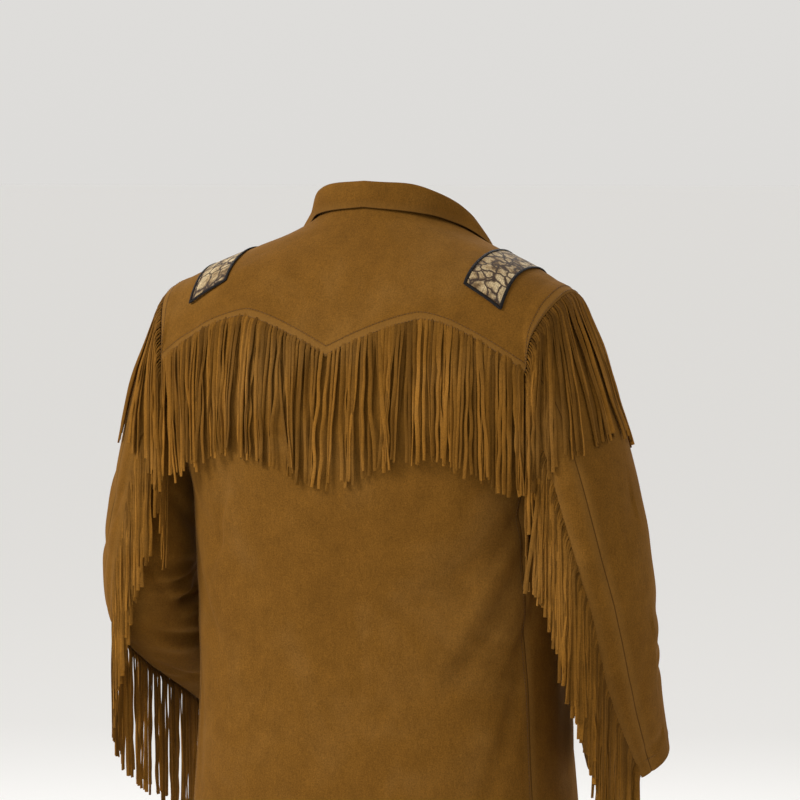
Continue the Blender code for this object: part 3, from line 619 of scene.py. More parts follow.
def toned(tree, base, tone):
    """A colour made lighter or darker by a tone."""
    grey = node(tree, "ShaderNodeCombineColor", {0: tone, 1: tone, 2: tone}).outputs[0]
    return mix(tree, 1.0, base, grey, "MULTIPLY")


def bump(tree, height, strength, distance, **under):
    made = node(tree, "ShaderNodeBump", {"Height": height, "Strength": strength,
                                         "Distance": distance, **under})
    return made.outputs["Normal"]


def finish_material(made, base, normal, specular):
    """Links the colour and the bump to the shader of a started material."""
    material, tree, shader = made
    tree.links.new(base, shader.inputs["Base Color"])
    tree.links.new(normal, shader.inputs["Normal"])
    shader.inputs["Specular IOR Level"].default_value = specular
    return material


def worn_edges_and_seam_shade(tree, base, patches):
    """Suede pale along its cut edges, darkened by painted shade in its seams and in a broken groove where it
    is topstitched.
    """
    edge = attribute(tree, "edge_distance")
    base = mix(tree, spread(tree, edge, 0.0010, 0.012, 0.40, 0.0), base, SUEDE_LIGHT)
    # Painted shade where the cloth runs into its seam
    base = mix(tree, spread(tree, edge, 0.0002, 0.0011, 0.70, 0.0), base, SEAM_SHADE)
    # Painted shade in a groove along the topstitching, broken up by the patches
    away = calculate(tree, "ABSOLUTE", calculate(tree, "SUBTRACT", edge, TOPSTITCH_INSET))
    groove = spread(tree, away, 0.0002, 0.0014, 0.50, 0.0)
    groove = calculate(tree, "MULTIPLY", groove, spread(tree, patches, 0.35, 0.60, 0.35, 1.0))
    sewn = attribute(tree, "topstitched")
    base = mix(tree, calculate(tree, "MULTIPLY", groove, sewn), base, SEAM_SHADE)
    band = spread(tree, edge, TOPSTITCH_INSET - 0.002, TOPSTITCH_INSET, 0.30, 0.0)
    return mix(tree, calculate(tree, "MULTIPLY", band, sewn), base, SUEDE_LIGHT)


def suede_material(name, strands=False):
    """Brushed suede, mottled and with a fine nap: for cut strands, or for cloth with worn edges."""
    made = start_material(name, 0.93)
    _, tree, shader = made
    where = object_place(tree)
    cloud = noise(tree, where, 7.0, 4.0, 0.55, 0.6)
    patches = noise(tree, where, 38.0, 5.0, 0.6)
    grain = noise(tree, where, 620.0, 3.0, 0.6)
    brushed = noise(tree, object_place(tree, (300.0, 300.0, 70.0)), 1.0, 3.0, 0.6)
    base = ramp(tree, spread(tree, cloud, 0.3, 0.7), (
        (0.0, SUEDE_DARK), (0.5, SUEDE_MIDDLE), (1.0, SUEDE_LIGHT)))
    base = mix(tree, 0.38, SUEDE_MIDDLE, base)
    base = toned(tree, base, spread(tree, patches, 0.25, 0.75, 0.88, 1.13))
    base = toned(tree, base, spread(tree, grain, 0.2, 0.8, 0.66, 1.36))
    base = toned(tree, base, spread(tree, brushed, 0.25, 0.75, 0.93, 1.08))
    if strands:
        # Each strand's own tone, with painted shade darkening it towards its root
        base = toned(tree, base, attribute(tree, "strand_tone_with_root_shade"))
    else:
        base = worn_edges_and_seam_shade(tree, base, patches)
    nap = bump(tree, calculate(tree, "ADD", grain, brushed), 0.42, 0.0006)
    shader.inputs["Sheen Weight"].default_value = 0.10
    shader.inputs["Sheen Roughness"].default_value = 0.40
    shader.inputs["Sheen Tint"].default_value = (0.95, 0.50, 0.16, 1)
    return finish_material(made, base, bump(tree, patches, 0.20, 0.004, Normal=nap), 0.06)


def cell_edges(tree, vector, scale, randomness):
    """The distance to the nearest edge of a pattern of cells."""
    made = node(tree, "ShaderNodeTexVoronoi", {"Vector": vector, "Scale": scale,
                                               "Randomness": randomness}, feature="DISTANCE_TO_EDGE")
    return made.outputs["Distance"]


def reptile_material():
    """Pale rounded scales ringed by a dark broken net, in brown saddles."""
    made = start_material("reptile_patch", 0.72)
    tree = made[1]
    where = node(tree, "ShaderNodeAttribute", attribute_name="place").outputs["Vector"]
    bent = noise(tree, where, 60.0, 2.0, output="Color")
    shift = node(tree, "ShaderNodeVectorMath", {0: bent, "Scale": 0.016}, operation="SCALE").outputs[0]
    warped = node(tree, "ShaderNodeVectorMath", {0: where, 1: shift}, operation="ADD").outputs[0]
    speck = noise(tree, where, 230.0, 3.0, 0.7)
    net = calculate(tree, "MULTIPLY", cell_edges(tree, warped, 62.0, 1.0), speck)
    tint = ramp(tree, noise(tree, where, 75.0), (
        (0.34, (0.110, 0.062, 0.022)), (0.45, (0.34, 0.235, 0.115)), (0.64, (0.54, 0.415, 0.235))))
    tint = toned(tree, tint, spread(tree, noise(tree, where, 420.0, 4.0, 0.75), 0.38, 0.62, 0.52, 1.22))
    base = mix(tree, spread(tree, net, 0.018, 0.064, 1.0, 0.0), tint, (0.030, 0.017, 0.011))
    scales = cell_edges(tree, where, 420.0, 0.45)
    base = mix(tree, spread(tree, scales, 0.0, 0.16, 0.45, 0.0), base, (0.09, 0.05, 0.02))
    return finish_material(made, base, bump(tree, scales, 0.6, 0.0009), 0.22)


def thread_material(name, colour, twist):
    """Sewing thread or a satin-stitched edge, with its lay as a fine bump, and painted shade and highlight
    along the lay.
    """
    made = start_material(name, 0.62)
    tree = made[1]
    wave = calculate(tree, "SINE", calculate(tree, "MULTIPLY", attribute(tree, "thread_along"), twist))
    uneven = spread(tree, noise(tree, object_place(tree), 500.0, 2.0), 0.3, 0.7, 0.7, 1.35)
    # The lay's wave also tones the colour: painted shade in its troughs, painted highlight on its ridges
    base = toned(tree, toned(tree, colour, uneven), spread(tree, wave, -1.0, 1.0, 0.75, 1.15))
    return finish_material(made, base, bump(tree, wave, 0.5, 0.0004), 0.12)


def button_material():
    """Brown horn, streaked and softly polished."""
    made = start_material("horn_button", 0.38)
    tree = made[1]
    streaks = noise(tree, object_place(tree, (60.0, 60.0, 420.0)), 1.0, 5.0, 0.6, 1.2)
    base = ramp(tree, streaks, ((0.3, (0.028, 0.012, 0.006)), (0.55, (0.10, 0.048, 0.020)),
                                (0.75, (0.23, 0.13, 0.060))))
    return finish_material(made, base, bump(tree, streaks, 0.15, 0.0004), 0.5)


MATERIALS = {
    "suede": suede_material("suede"),
    "fringe": suede_material("fringe_suede", strands=True),
    "patch": reptile_material(),
    "border": thread_material("black_border", (0.0075, 0.0058, 0.0052), 5200.0),
    "thread": thread_material("tan_thread", (0.120, 0.058, 0.018), 9000.0),
    "button": button_material(),
}


# Meshes
def add_mesh(name, points, faces, material, attributes=None):
    mesh = bpy.data.meshes.new(name)
    points = np.asarray(points, np.float32).reshape(-1, 3)
    faces = np.asarray(faces, np.int32)
    mesh.vertices.add(len(points))
    mesh.vertices.foreach_set("co", points.ravel())
    mesh.loops.add(faces.size)
    mesh.loops.foreach_set("vertex_index", faces.ravel())
    mesh.polygons.add(len(faces))
    mesh.polygons.foreach_set("loop_start", np.arange(0, faces.size, 4, dtype=np.int32))
    mesh.update(calc_edges=True)
    mesh.validate()
    for key, values in (attributes or {}).items():
        values = np.asarray(values, np.float32)
        kind, field = ("FLOAT_VECTOR", "vector") if values.ndim == 2 else ("FLOAT", "value")
        mesh.attributes.new(key, kind, "POINT").data.foreach_set(field, values.ravel())
    mesh.materials.append(MATERIALS[material])
    mesh.shade_smooth()
    mesh.set_sharp_from_angle(angle=SHARP_ANGLE)
    piece = bpy.data.objects.new(name, mesh)
    bpy.context.scene.collection.objects.link(piece)
    return piece


def faces_outward(points, normals):
    """Whether a grid's faces, by row and then column, face along its normals."""
    row, column = points.shape[0] // 2, points.shape[1] // 2
    first = points[row, column + 1] - points[row, column]
    second = points[row + 1, column] - points[row, column]
    return np.dot(np.cross(first, second), normals[row, column]) > 0


def edge_distance(points, sides=(True, True, True, True)):
    """Each grid point's distance along the cloth to its nearest sewn edge.

    The sides are the first and last row, and the first and last column.
    """
    down = np.linalg.norm(np.diff(points, axis=0), axis=-1)
    down = np.concatenate([np.zeros((1, points.shape[1])), np.cumsum(down, 0)])
    over = np.linalg.norm(np.diff(points, axis=1), axis=-1)
    over = np.concatenate([np.zeros((points.shape[0], 1)), np.cumsum(over, 1)], 1)
    far = np.full(points.shape[:2], 1.0)
    distances = (down, down[-1:] - down, over, over[:, -1:] - over)
    for used, distance in zip(sides, distances):
        if used:
            far = np.minimum(far, distance)
    return far


def grid_quads(index):
    """The quads of a grid of point numbers."""
    quads = np.stack([index[:-1, :-1], index[:-1, 1:], index[1:, 1:], index[1:, :-1]], -1)
    return quads.reshape(-1, 4)


def wall_faces(rows, columns):
    """Quads of a closed wall: an outer and an inner grid, and the rim between them."""
    count = rows * columns
    index = np.arange(count).reshape(rows, columns)
    outer = grid_quads(index)
    rim = np.concatenate([index[0, :], index[1:, -1], index[-1, -2::-1], index[-2:0:-1, 0]])
    after = np.roll(rim, -1)
    band = np.stack([after, rim, rim + count, after + count], -1)
    return np.concatenate([outer, outer[:, ::-1] + count, band])


def tube_faces(index):
    """Quads of tubes with closed ends, from point numbers by tube, ring and corner."""
    after = np.roll(index, -1, 2)
    faces = [np.stack([index[:, :-1], after[:, :-1], after[:, 1:], index[:, 1:]], -1).reshape(-1, 4)]
    first, last = index[:, 0], index[:, -1]
    for k in range(index.shape[2] // 2 - 1):
        faces.append(np.stack([last[:, k], last[:, k + 1], last[:, -k - 2], last[:, -k - 1]], -1))
        faces.append(np.stack([first[:, -k - 1], first[:, -k - 2], first[:, k + 1], first[:, k]], -1))
    return np.concatenate(faces)


def walked_length(line):
    """How far along a line of points each of them is."""
    return np.concatenate([[0], np.cumsum(np.linalg.norm(np.diff(line, axis=0), axis=1))])


def read_line(places, walked, values):
    """A line's points or ways at places along it."""
    return np.stack([np.interp(places, walked, values[:, axis]) for axis in range(3)], -1)


def shell(name, points, normals, lift, sides, material="suede", roll=0.0010, thickness=CLOTH, extra=None):
    """A thin closed shell on a fine grid, its sewn edges rolled down into the seam."""
    rows, columns = points.shape[:2]
    distance = edge_distance(points, sides)
    rolled = roll * np.exp(-(distance / ROLL_WIDTH) ** 2)
    raised = points + normals * (lift - rolled)[..., None]
    under = points + normals * (lift - thickness)[..., None]
    outward = faces_outward(points, normals)
    if material == "suede":
        cloth_surfaces.append((raised, outward))
    faces = wall_faces(rows, columns)
    if not outward:
        faces = faces[:, ::-1]
    attributes = {"edge_distance": np.tile(distance.ravel(), 2)}
    for key, values in (extra or {}).items():
        attributes[key] = np.concatenate([values.reshape(rows * columns, *values.shape[2:])] * 2)
    return add_mesh(name, np.concatenate([raised.reshape(-1, 3), under.reshape(-1, 3)]),
                    faces, material, attributes)


def dress(piece, node_name):
    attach(piece, "root")
    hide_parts(node_name)


def shares(count, edge=0.010):
    """Even shares from 0 to 1, with a few more close to both ends."""
    even = np.linspace(0, 1, count)
    near = np.array([0.12, 0.35]) * edge
    return np.unique(np.concatenate([even, near, 1 - near]))


def wander(points, seed, size=0.0009):
    """A gentle unevenness of the cloth, a few centimetres long."""
    draw = np.random.default_rng(seed)
    total = np.zeros(points.shape[:-1])
    slow, fast = WANDER_TURNS
    for _ in range(WANDER_WAVES):
        way = unit(draw.normal(size=3)) * draw.uniform(slow, fast)
        total = total + np.sin(points @ way + draw.uniform(0, 2 * math.pi)) * slow / np.linalg.norm(way)
    return total * size / WANDER_SUM


def front_lift(angle):
    return FRONT_LAP * soft_step(angle, LAP_START, LAP_LEVEL)


def lap_angles(count):
    return np.radians(np.linspace(*LAP_DEGREES, count))


# The outer faces of the cloth made so far, which the fringe is hung on
cloth_surfaces = []

def body_shell(name, angle, height, sides, seed, lift=0.0):
    points, normals = body(angle, height), body_normal(angle, height)
    lift = lift + wander(points, seed) * soft_step(edge_distance(points), 0.0, 0.03)
    return shell(name, points, normals, lift, sides)


def make_back():
    seam_top = float(armhole_floor(np.float64(SIDE_SEAM)))
    columns = shares(84) * 2 - 1
    lower = HEM_HEIGHT + (seam_top - HEM_HEIGHT) * np.linspace(0, 1, 92)
    height = np.repeat(lower[:, None], len(columns), 1)
    angle = columns[None, :] * SIDE_SEAM * np.ones_like(height)
    top_angle, top_height = yoke_place(columns)
    rise = np.linspace(0, 1, UPPER_ROWS)[1:, None]
    upper_height = seam_top + (top_height[None, :] - seam_top) * rise
    upper_angle = columns[None, :] * armhole_angle(upper_height)
    upper_angle[-1] = top_angle
    piece = body_shell("back_cloth", np.vstack([angle, upper_angle]),
                       np.vstack([height, upper_height]), (False, False, True, True), 3)
    dress(piece, "back")


def make_side(side, sign):
    angle = FRONT_SEAM * shares(26) + SIDE_SEAM * (1 - shares(26))
    top = armhole_floor(angle)
    height = HEM_HEIGHT + (top - HEM_HEIGHT)[None, :] * np.linspace(0, 1, 90)[:, None]
    angle = np.repeat(angle[None, :], len(height), 0)
    piece = body_shell(f"side_cloth_{side}", sign * angle, height, (False, True, True, True), 4)
    dress(piece, f"side_{side}")


def make_front(side, sign):
    seam_top = float(armhole_floor(np.float64(FRONT_SEAM)))
    lower = HEM_HEIGHT + (seam_top - HEM_HEIGHT) * np.linspace(0, 1, 88)
    upper = seam_top + (FRONT_YOKE_HEIGHT - seam_top) * np.linspace(0, 1, UPPER_ROWS)[1:]
    heights = np.concatenate([lower, upper])
    edge = np.where(heights <= seam_top, FRONT_SEAM, math.pi - armhole_angle(heights))[:, None]
    plain = edge + (LAP_START - edge) * shares(44)[None, :-1]
    angle = np.hstack([plain, np.repeat(lap_angles(16)[None, :], len(heights), 0)])
    height = np.repeat(heights[:, None], angle.shape[1], 1)
    lift = front_lift(angle) if side == "left" else 0.0
    piece = body_shell(f"front_cloth_{side}", sign * angle, height, (False, True, True, True), 5, lift)
    dress(piece, f"front_{side}")


def yoke_outline():
    """The yoke's edge below, as angles and heights, and the angles of the neck edge that it meets."""
    even = shares(121, 0.006) * 2 - 1
    angle, height = yoke_place(even)
    turns = np.linspace(armhole_turn(YOKE_END), -armhole_turn(FRONT_YOKE_HEIGHT), SHOULDER_COLUMNS)[1:-1]
    arm_angle, arm_height = armhole_point(turns)
    edge = math.pi - armhole_angle(np.float64(FRONT_YOKE_HEIGHT))
    front_share = np.linspace(0, 1, FRONT_COLUMNS)[:-1]
    lap = lap_angles(14)
    front_angle = np.concatenate([edge + (LAP_START - edge) * front_share, lap])
    side_angle = np.concatenate([arm_angle, front_angle])
    side_height = np.concatenate([arm_height, np.full(front_angle.shape, FRONT_YOKE_HEIGHT)])
    neck_side = np.concatenate([np.linspace(NECK_BACK, NECK_FRONT, SHOULDER_COLUMNS)[1:-1],
                                NECK_FRONT + (LAP_START - NECK_FRONT) * front_share, lap])
    return (np.concatenate([-side_angle[::-1], angle, side_angle]),
            np.concatenate([side_height[::-1], height, side_height]),
            np.concatenate([-neck_side[::-1], NECK_BACK * even, neck_side]))


def make_yoke():
    """The yoke on a grid from just below its lower edge, 0, to the neck, 1, with its sewing line."""
    rise = np.concatenate([[-0.022, -0.018, -0.008, 0.0, 0.012, 0.026], np.linspace(0.045, 1, 46)])
    lower_angle, lower_height, neck = yoke_outline()
    neck_height = read_table(NECK, np.degrees(np.abs(neck)))[0]
    angle = lower_angle + (neck - lower_angle) * rise[:, None]
    height = lower_height + (neck_height - lower_height) * rise[:, None]
    points, normals = body(angle, height), body_normal(angle, height)
    sides = (True, False, False, False)
    distance = edge_distance(points, sides)
    lap = YOKE_LAP * (1 - soft_step(distance, 0.012, 0.034)) * soft_step(distance, -0.001, 0.001)
    lift = front_lift(angle) + lap + 0.0004 * np.exp(-((distance - 0.0045) / 0.003) ** 2)
    lift = lift + wander(points, 6) * soft_step(distance, 0.0, 0.03)
    piece = shell("yoke_cloth", points, normals, lift, sides, roll=0.0009,
                  extra={"topstitched": np.ones(distance.shape)})
    dress(piece, "yoke")
    return points + normals * lift[..., None], normals, distance


def collar_line(angle):
    """The collar's profile at each angle, from the neck seam over the fold to the fall's edge."""
    lift = front_lift(angle)
    neck, stand, edge = read_table(NECK, np.degrees(np.abs(angle)))
    foot = body(angle, neck)
    out = unit(body_normal(angle, neck) * LEVEL)
    tuck = 0.0014 * soft_step(np.abs(angle), math.radians(58), math.radians(84))
    fall = body(angle, edge) + body_normal(angle, edge) * (0.0018 - tuck + lift)[..., None]
    fold = foot + out * (0.003 + lift)[..., None] + UP * stand[..., None]
    return np.array([
        foot - UP * 0.0040 + out * (lift - 0.0022)[..., None],
        foot + UP * (stand * 0.55)[..., None] + out * (lift - 0.0012)[..., None],
        fold + out * -0.0030 - UP * 0.0016,
        fold,
        fold + out * 0.0030 - UP * 0.0022,
        fold * 0.45 + fall * 0.55 + out * 0.0028,
        fall])


def smooth_along(rows, counts):
    """More rows between the given ones, on a smooth curve."""
    place = np.arange(len(rows), dtype=float)
    fine = np.concatenate([np.linspace(i, i + 1, n, endpoint=False) for i, n in enumerate(counts)])
    fine = np.append(fine, len(rows) - 1.0)
    flat = rows.reshape(len(rows), -1)
    table = np.concatenate([place[:, None], flat], 1)
    return np.moveaxis(read_table(table, fine), 0, -1).reshape(len(fine), *rows.shape[1:])


def make_collar():
    angle = np.radians(np.concatenate([[-173, -172.6], np.linspace(-172, 172, 220), [172.6, 173]]))
    line = smooth_along(collar_line(angle), (6, 6, 4, 4, 8, 12))
    normals = unit(np.cross(np.gradient(line, axis=0), np.gradient(line, axis=1)))
    piece = shell("collar_cloth", line, normals, wander(line, 7, 0.0006), (False, True, True, True),
                  roll=0.0005, thickness=0.0018)
    dress(piece, "collar")
    return line, normals


def make_sleeve(side):
    front = math.radians(FRONT_SLEEVE_SEAM)
    share = np.linspace(0, 1, 176)
    seams = [np.full(share.shape, front), sleeve_seam(side, share, 0), sleeve_seam(side, share, 1),
             np.full(share.shape, front + 2 * math.pi)]
    # name, columns, cut's width, length and area
    panels = (("sleeve_upper", 58, 0.22, 0.60, 0.108),
              ("sleeve_band", 12, 0.034, 0.58, 0.017),
              ("sleeve_under", 58, 0.20, 0.56, 0.086))
    for index, (name, count, cut_width, cut_length, area) in enumerate(panels):
        across = shares(count, 0.03)
        turn = seams[index][:, None] + (seams[index + 1] - seams[index])[:, None] * across[None, :]
        along = np.repeat((share * arm_length(side))[:, None], len(across), 1)
        points, normals = sleeve(side, turn, along), sleeve_normal(side, turn, along)
        distance = edge_distance(points, (False, False, True, True))
        lift = wander(points, 8 + index, 0.0008) * soft_step(distance, 0.0, 0.02)
        if name == "sleeve_band":
            lift = lift + 0.0026 * across[None, :] ** 2
        piece = shell(f"{name}_cloth_{side}", points, normals, lift, (True, False, True, True))
        dress(piece, f"{name}_{side}")


# How the fringe hangs: a strand's corners, its rings as it hangs and as it shows, those held at the root,
# steps, pull down, shares of speed kept and of slip stopped, rounds that mend its length,
# share of a bend that is straightened, and how far off the cloth is felt
STRAND_SIDES = 8
STRAND_RINGS = 20
SHOWN_RINGS = 28
PINNED_RINGS = 2
HANG_STEPS = 150
GRAVITY_STEP = np.array([0, 0, -0.0008])
DRAG = 0.90
GRIP = 0.35
LENGTH_ROUNDS = 8
STIFFNESS = 0.22
NEAR_CLOTH = 0.03


def cloth_tree(surfaces):
    """A search tree over the outer faces of the cloth, which the strands lie on."""
    points, faces = [], []
    for grid, outward in surfaces:
        grid = np.concatenate([grid[:-1:2], grid[-1:]])
        grid = np.concatenate([grid[:, :-1:2], grid[:, -1:]], 1)
        rows, columns = grid.shape[:2]
        quads = grid_quads(len(points) + np.arange(rows * columns).reshape(rows, columns))
        faces += (quads if outward else quads[:, ::-1]).tolist()
        points += grid.reshape(-1, 3).tolist()
    return BVHTree.FromPolygons(points, faces)


def nearest_cloth(points, tree):
    """For each point, the nearest place on the cloth, its outward way, and whether one is near."""
    places, ways = np.zeros_like(points), np.zeros_like(points)
    found = np.zeros(len(points), bool)
    for index, spot in enumerate(points.tolist()):
        place, way, _, _ = tree.find_nearest(spot, NEAR_CLOTH)
        if place is not None:
            places[index], ways[index], found[index] = place, way, True
    return places, ways, found


def hang(paths, length, clearance, lean, clump, members, tree):
    """Lets strands fall from their pinned roots until they hang on the cloth or free."""
    count, rings = paths.shape[:2]
    step = (length / (rings - 1))[:, None, None]
    now, before = paths.copy(), paths.copy()
    down = np.linspace(0, 1, rings)[None, :, None]
    for _ in range(HANG_STEPS):
        moved = (now - before) * DRAG
        before = now.copy()
        middles = np.stack([np.bincount(members, now[:, ring, axis]) for ring in range(rings)
                            for axis in range(3)], -1) / np.bincount(members)[:, None]
        pull = middles.reshape(-1, rings, 3)[members] - now
        pull = pull - UP * pull[..., 2:]
        now = now + moved + GRAVITY_STEP + lean[:, None, :] * down
        now = now + pull * clump[:, None, None] * down
        for _ in range(LENGTH_ROUNDS):
            for first in (0, 1):
                here = np.arange(first, rings - 1, 2)
                apart = now[:, here + 1] - now[:, here]
                far = np.linalg.norm(apart, axis=-1, keepdims=True)
                mend = apart * (far - step) / np.maximum(far, 1e-6) / 2
                now[:, here] += mend
                now[:, here + 1] -= mend
            now[:, :PINNED_RINGS] = paths[:, :PINNED_RINGS]
        straight = (now[:, 2:] + now[:, :-2]) / 2
        now[:, 1:-1] += (straight - now[:, 1:-1]) * STIFFNESS
        now[:, :PINNED_RINGS] = paths[:, :PINNED_RINGS]
        flat = now[:, PINNED_RINGS:].reshape(-1, 3)
        places, ways, found = nearest_cloth(flat, tree)
        room = ((flat - places) * ways).sum(-1)
        short = np.where(found, np.repeat(clearance, rings - PINNED_RINGS) - room, 0)
        short = np.clip(short, 0, NEAR_CLOTH)
        flat = flat + ways * short[:, None]
        now[:, PINNED_RINGS:] = flat.reshape(count, -1, 3)
        touching = (short > 0).reshape(count, -1, 1)
        before[:, PINNED_RINGS:] += (now - before)[:, PINNED_RINGS:] * touching * GRIP
    return now


def strand_mesh(name, paths, sides, outs, widths, thickness, tones_with_root_shade):
    """Cut suede strips: paths, side and outward ways are one row of rings for each strand."""
    count, rings = paths.shape[:2]
    corner = np.arange(STRAND_SIDES) * 2 * math.pi / STRAND_SIDES + math.pi / STRAND_SIDES
    across = np.sign(np.cos(corner)) * np.abs(np.cos(corner)) ** 0.45
    deep = np.sign(np.sin(corner)) * np.abs(np.sin(corner)) ** 0.75
    ring = (sides[:, :, None, :] * (widths[..., None] * across / 2)[..., None]
            + outs[:, :, None, :] * (thickness[..., None] * deep / 2)[..., None])
    points = paths[:, :, None, :] + ring
    faces = tube_faces(np.arange(count * rings * STRAND_SIDES).reshape(count, rings, STRAND_SIDES))
    tone = np.repeat(tones_with_root_shade, STRAND_SIDES, axis=1).ravel()
    return add_mesh(name, points, faces, "fringe", {"strand_tone_with_root_shade": tone})


def cut_to_length(paths, length):
    """The same curves with evenly spaced rings, each cut off at its strand's length."""
    cut = []
    for path, whole in zip(paths, length):
        walked = walked_length(path)
        cut.append(read_line(np.linspace(0, min(whole, walked[-1]), len(path)), walked, path))
    return np.array(cut)


def fine_rings(paths, rings):
    """The same strands with more rings, on a smooth curve."""
    at = np.linspace(0, paths.shape[1] - 1, rings)
    table = np.moveaxis(paths, 0, 1).reshape(paths.shape[1], -1)
    table = np.concatenate([np.arange(paths.shape[1])[:, None], table], 1)
    flat = np.moveaxis(read_table(table, at), 0, -1)
    return np.moveaxis(flat.reshape(rings, -1, 3), 0, 1)


def cut_fringe(name, node_name, roots, first, outward, length, width, seed, tree, sway):
    """Strands from roots, starting in one way each, hung, then given their width, twist and tone, with
    painted shade towards the root.
    """
    draw = np.random.default_rng(seed)
    count = len(roots)
    share = np.linspace(0, 1, STRAND_RINGS)[None, :, None]
    falling = unit(first - UP * 1.2)[:, None, :]
    start = first[:, None, :] * np.minimum(share, ROOT_SHARE)
    start = start + falling * np.maximum(share - ROOT_SHARE, 0)
    clearance = draw.uniform(*STRAND_CLEARANCE, count)
    paths = roots[:, None, :] + start * length[:, None, None]
    paths = paths + outward[:, None, :] * (clearance[:, None, None] + 0.004) * np.minimum(share * 8, 1)
    level = unit(np.gradient(roots, axis=0) * LEVEL)
    facing = np.cross(level, -UP)
    facing = facing * np.where((facing * outward).sum(-1) < 0, -1, 1)[:, None]
    lean = draw.normal(0, sway, count)[:, None] * level
    stray = draw.uniform(0, 1, count) < STRAY_SHARE
    lean[stray] *= 3.0
    groups = np.repeat(np.arange(count), draw.integers(2, 7, count))[:count]
    clump = draw.uniform(0.0, 0.010, count)
    hung = cut_to_length(hang(paths, length, clearance, lean, clump, groups, tree), length)
    rings = SHOWN_RINGS
    paths = fine_rings(hung, rings)
    t = np.linspace(0, 1, rings)[None, :]

    def each(draw_one, *spread_of):
        return draw_one(*spread_of, (count, 1))

    wave = each(draw.normal, 0, 0.0007) * np.sin(t * each(draw.uniform, 10, 24) + each(draw.uniform, 0, 6))
    paths = paths + level[:, None, :] * (wave * soft_step(t, 0.05, 0.4))[..., None]
    _, ways, found = nearest_cloth(paths.reshape(-1, 3), tree)
    ways = np.where(found[:, None], ways * LEVEL, 0).reshape(count, rings, 3)
    ways = ways + facing[:, None, :] * 0.7
    for _ in range(6):
        ways[:, 1:-1] = (ways[:, :-2] + ways[:, 1:-1] + ways[:, 2:]) / 3
    ahead = unit(np.gradient(paths, axis=1))
    sides = unit(np.cross(ahead, ways))
    outs = unit(np.cross(sides, ahead))
    twist = each(draw.normal, 0, 0.42) * soft_step(t, 0.04, 0.5)
    twist = twist + each(draw.normal, 0, 0.40) * np.sin(t * each(draw.uniform, 2, 8))
    turned = sides * np.cos(twist)[..., None] + outs * np.sin(twist)[..., None]
    outs = outs * np.cos(twist)[..., None] - sides * np.sin(twist)[..., None]
    widths = width * each(draw.uniform, 0.78, 1.12) * (1 - 0.10 * t)
    ripple = np.sin(t * each(draw.uniform, 8, 26) + each(draw.uniform, 0, 6))
    widths = widths * (1 + 0.06 * ripple)
    thickness = STRAND_THICKNESS * each(draw.uniform, 0.85, 1.2) * np.ones_like(t)
    # A random tone for each strand, times painted shade that darkens it towards its root
    tones_with_root_shade = each(draw.uniform, 0.66, 1.52) * (0.80 + 0.28 * soft_step(t, 0.0, 0.5))
    piece = strand_mesh(name, paths, turned, outs, widths, thickness, tones_with_root_shade)
    dress(piece, node_name)


def make_yoke_fringe(tree):
    draw = np.random.default_rng(11)
    count = YOKE_STRANDS
    share = (np.arange(count) + 0.5) / count * 2 - 1
    share = share * 0.990 + draw.uniform(-0.0025, 0.0025, count)
    angle, height = yoke_place(share)
    outward = body_normal(angle, height)
    roots = body(angle, height + 0.003) + outward * draw.uniform(0.0012, 0.0022, (count, 1))
    first = unit(body(angle, height - 0.010) - body(angle, height))
    length = YOKE_FRINGE_LENGTH * draw.uniform(0.955, 1.035, count) - 0.022 * np.abs(share) ** 4 + 0.003
    cut_fringe("yoke_fringe_strands", "yoke_fringe", roots, first, unit(outward * LEVEL), length,
               YOKE_STRAND_WIDTH, 12, tree, 0.00005)


def make_armhole_fringe(side, tree):
    seed = {"left": 21, "right": 22}[side]
    draw = np.random.default_rng(seed)
    count = ARMHOLE_STRANDS
    turn = np.linspace(ARMHOLE_FRINGE_BACK, ARMHOLE_FRINGE_FRONT, count) + draw.uniform(-0.008, 0.008, count)

    def at(along):
        return sleeve(side, turn, np.full(count, along))

    outward = sleeve_normal(side, turn, np.full(count, 0.012))
    roots = at(0.0012) + outward * draw.uniform(0.0010, 0.0022, (count, 1))
    first = unit(at(0.022) - at(0.004))
    length = ARMHOLE_FRINGE_LENGTH * draw.uniform(0.95, 1.04, count)
    cut_fringe(f"armhole_fringe_strands_{side}", f"armhole_fringe_{side}", roots, first, outward, length,
               ARMHOLE_STRAND_WIDTH, seed + 2, tree, 0.00004)


def make_sleeve_fringe(side, tree):
    seed = {"left": 31, "right": 32}[side]
    draw = np.random.default_rng(seed)
    count = SLEEVE_STRANDS
    share = np.linspace(SLEEVE_FRINGE_START, SLEEVE_FRINGE_END, count) + draw.uniform(-0.002, 0.002, count)
    along = share * arm_length(side)
    turn = sleeve_seam(side, share, 1)
    outward = sleeve_normal(side, turn, along)
    roots = sleeve(side, turn, along) + outward * draw.uniform(0.0008, 0.0020, (count, 1))
    down = unit(outward * (outward @ UP)[:, None] - UP)
    around = unit(sleeve(side, turn + 0.08, along) - sleeve(side, turn, along))
    first = unit(down + around * 0.30 + outward * 0.22)
    length = SLEEVE_FRINGE_LENGTH * draw.uniform(0.93, 1.08, count)
    cut_fringe(f"sleeve_fringe_strands_{side}", f"sleeve_fringe_{side}", roots, first, outward, length,
               SLEEVE_STRAND_WIDTH, seed + 2, tree, 0.00003)


# Patches
def shoulder_height(x, y):
    """The height of the shoulder's top over a place, found between neck and armhole."""
    def under_cloth(height):
        half_width, behind, before, middle, square = read_table(BODY, height)
        depth = np.where(y > middle, behind, before)
        return (np.abs(x) / half_width) ** square + (np.abs(y - middle) / depth) ** square < 1

    shape = np.broadcast(x, y).shape
    return bisect(under_cloth, np.full(shape, -0.17), np.full(shape, 0.0))


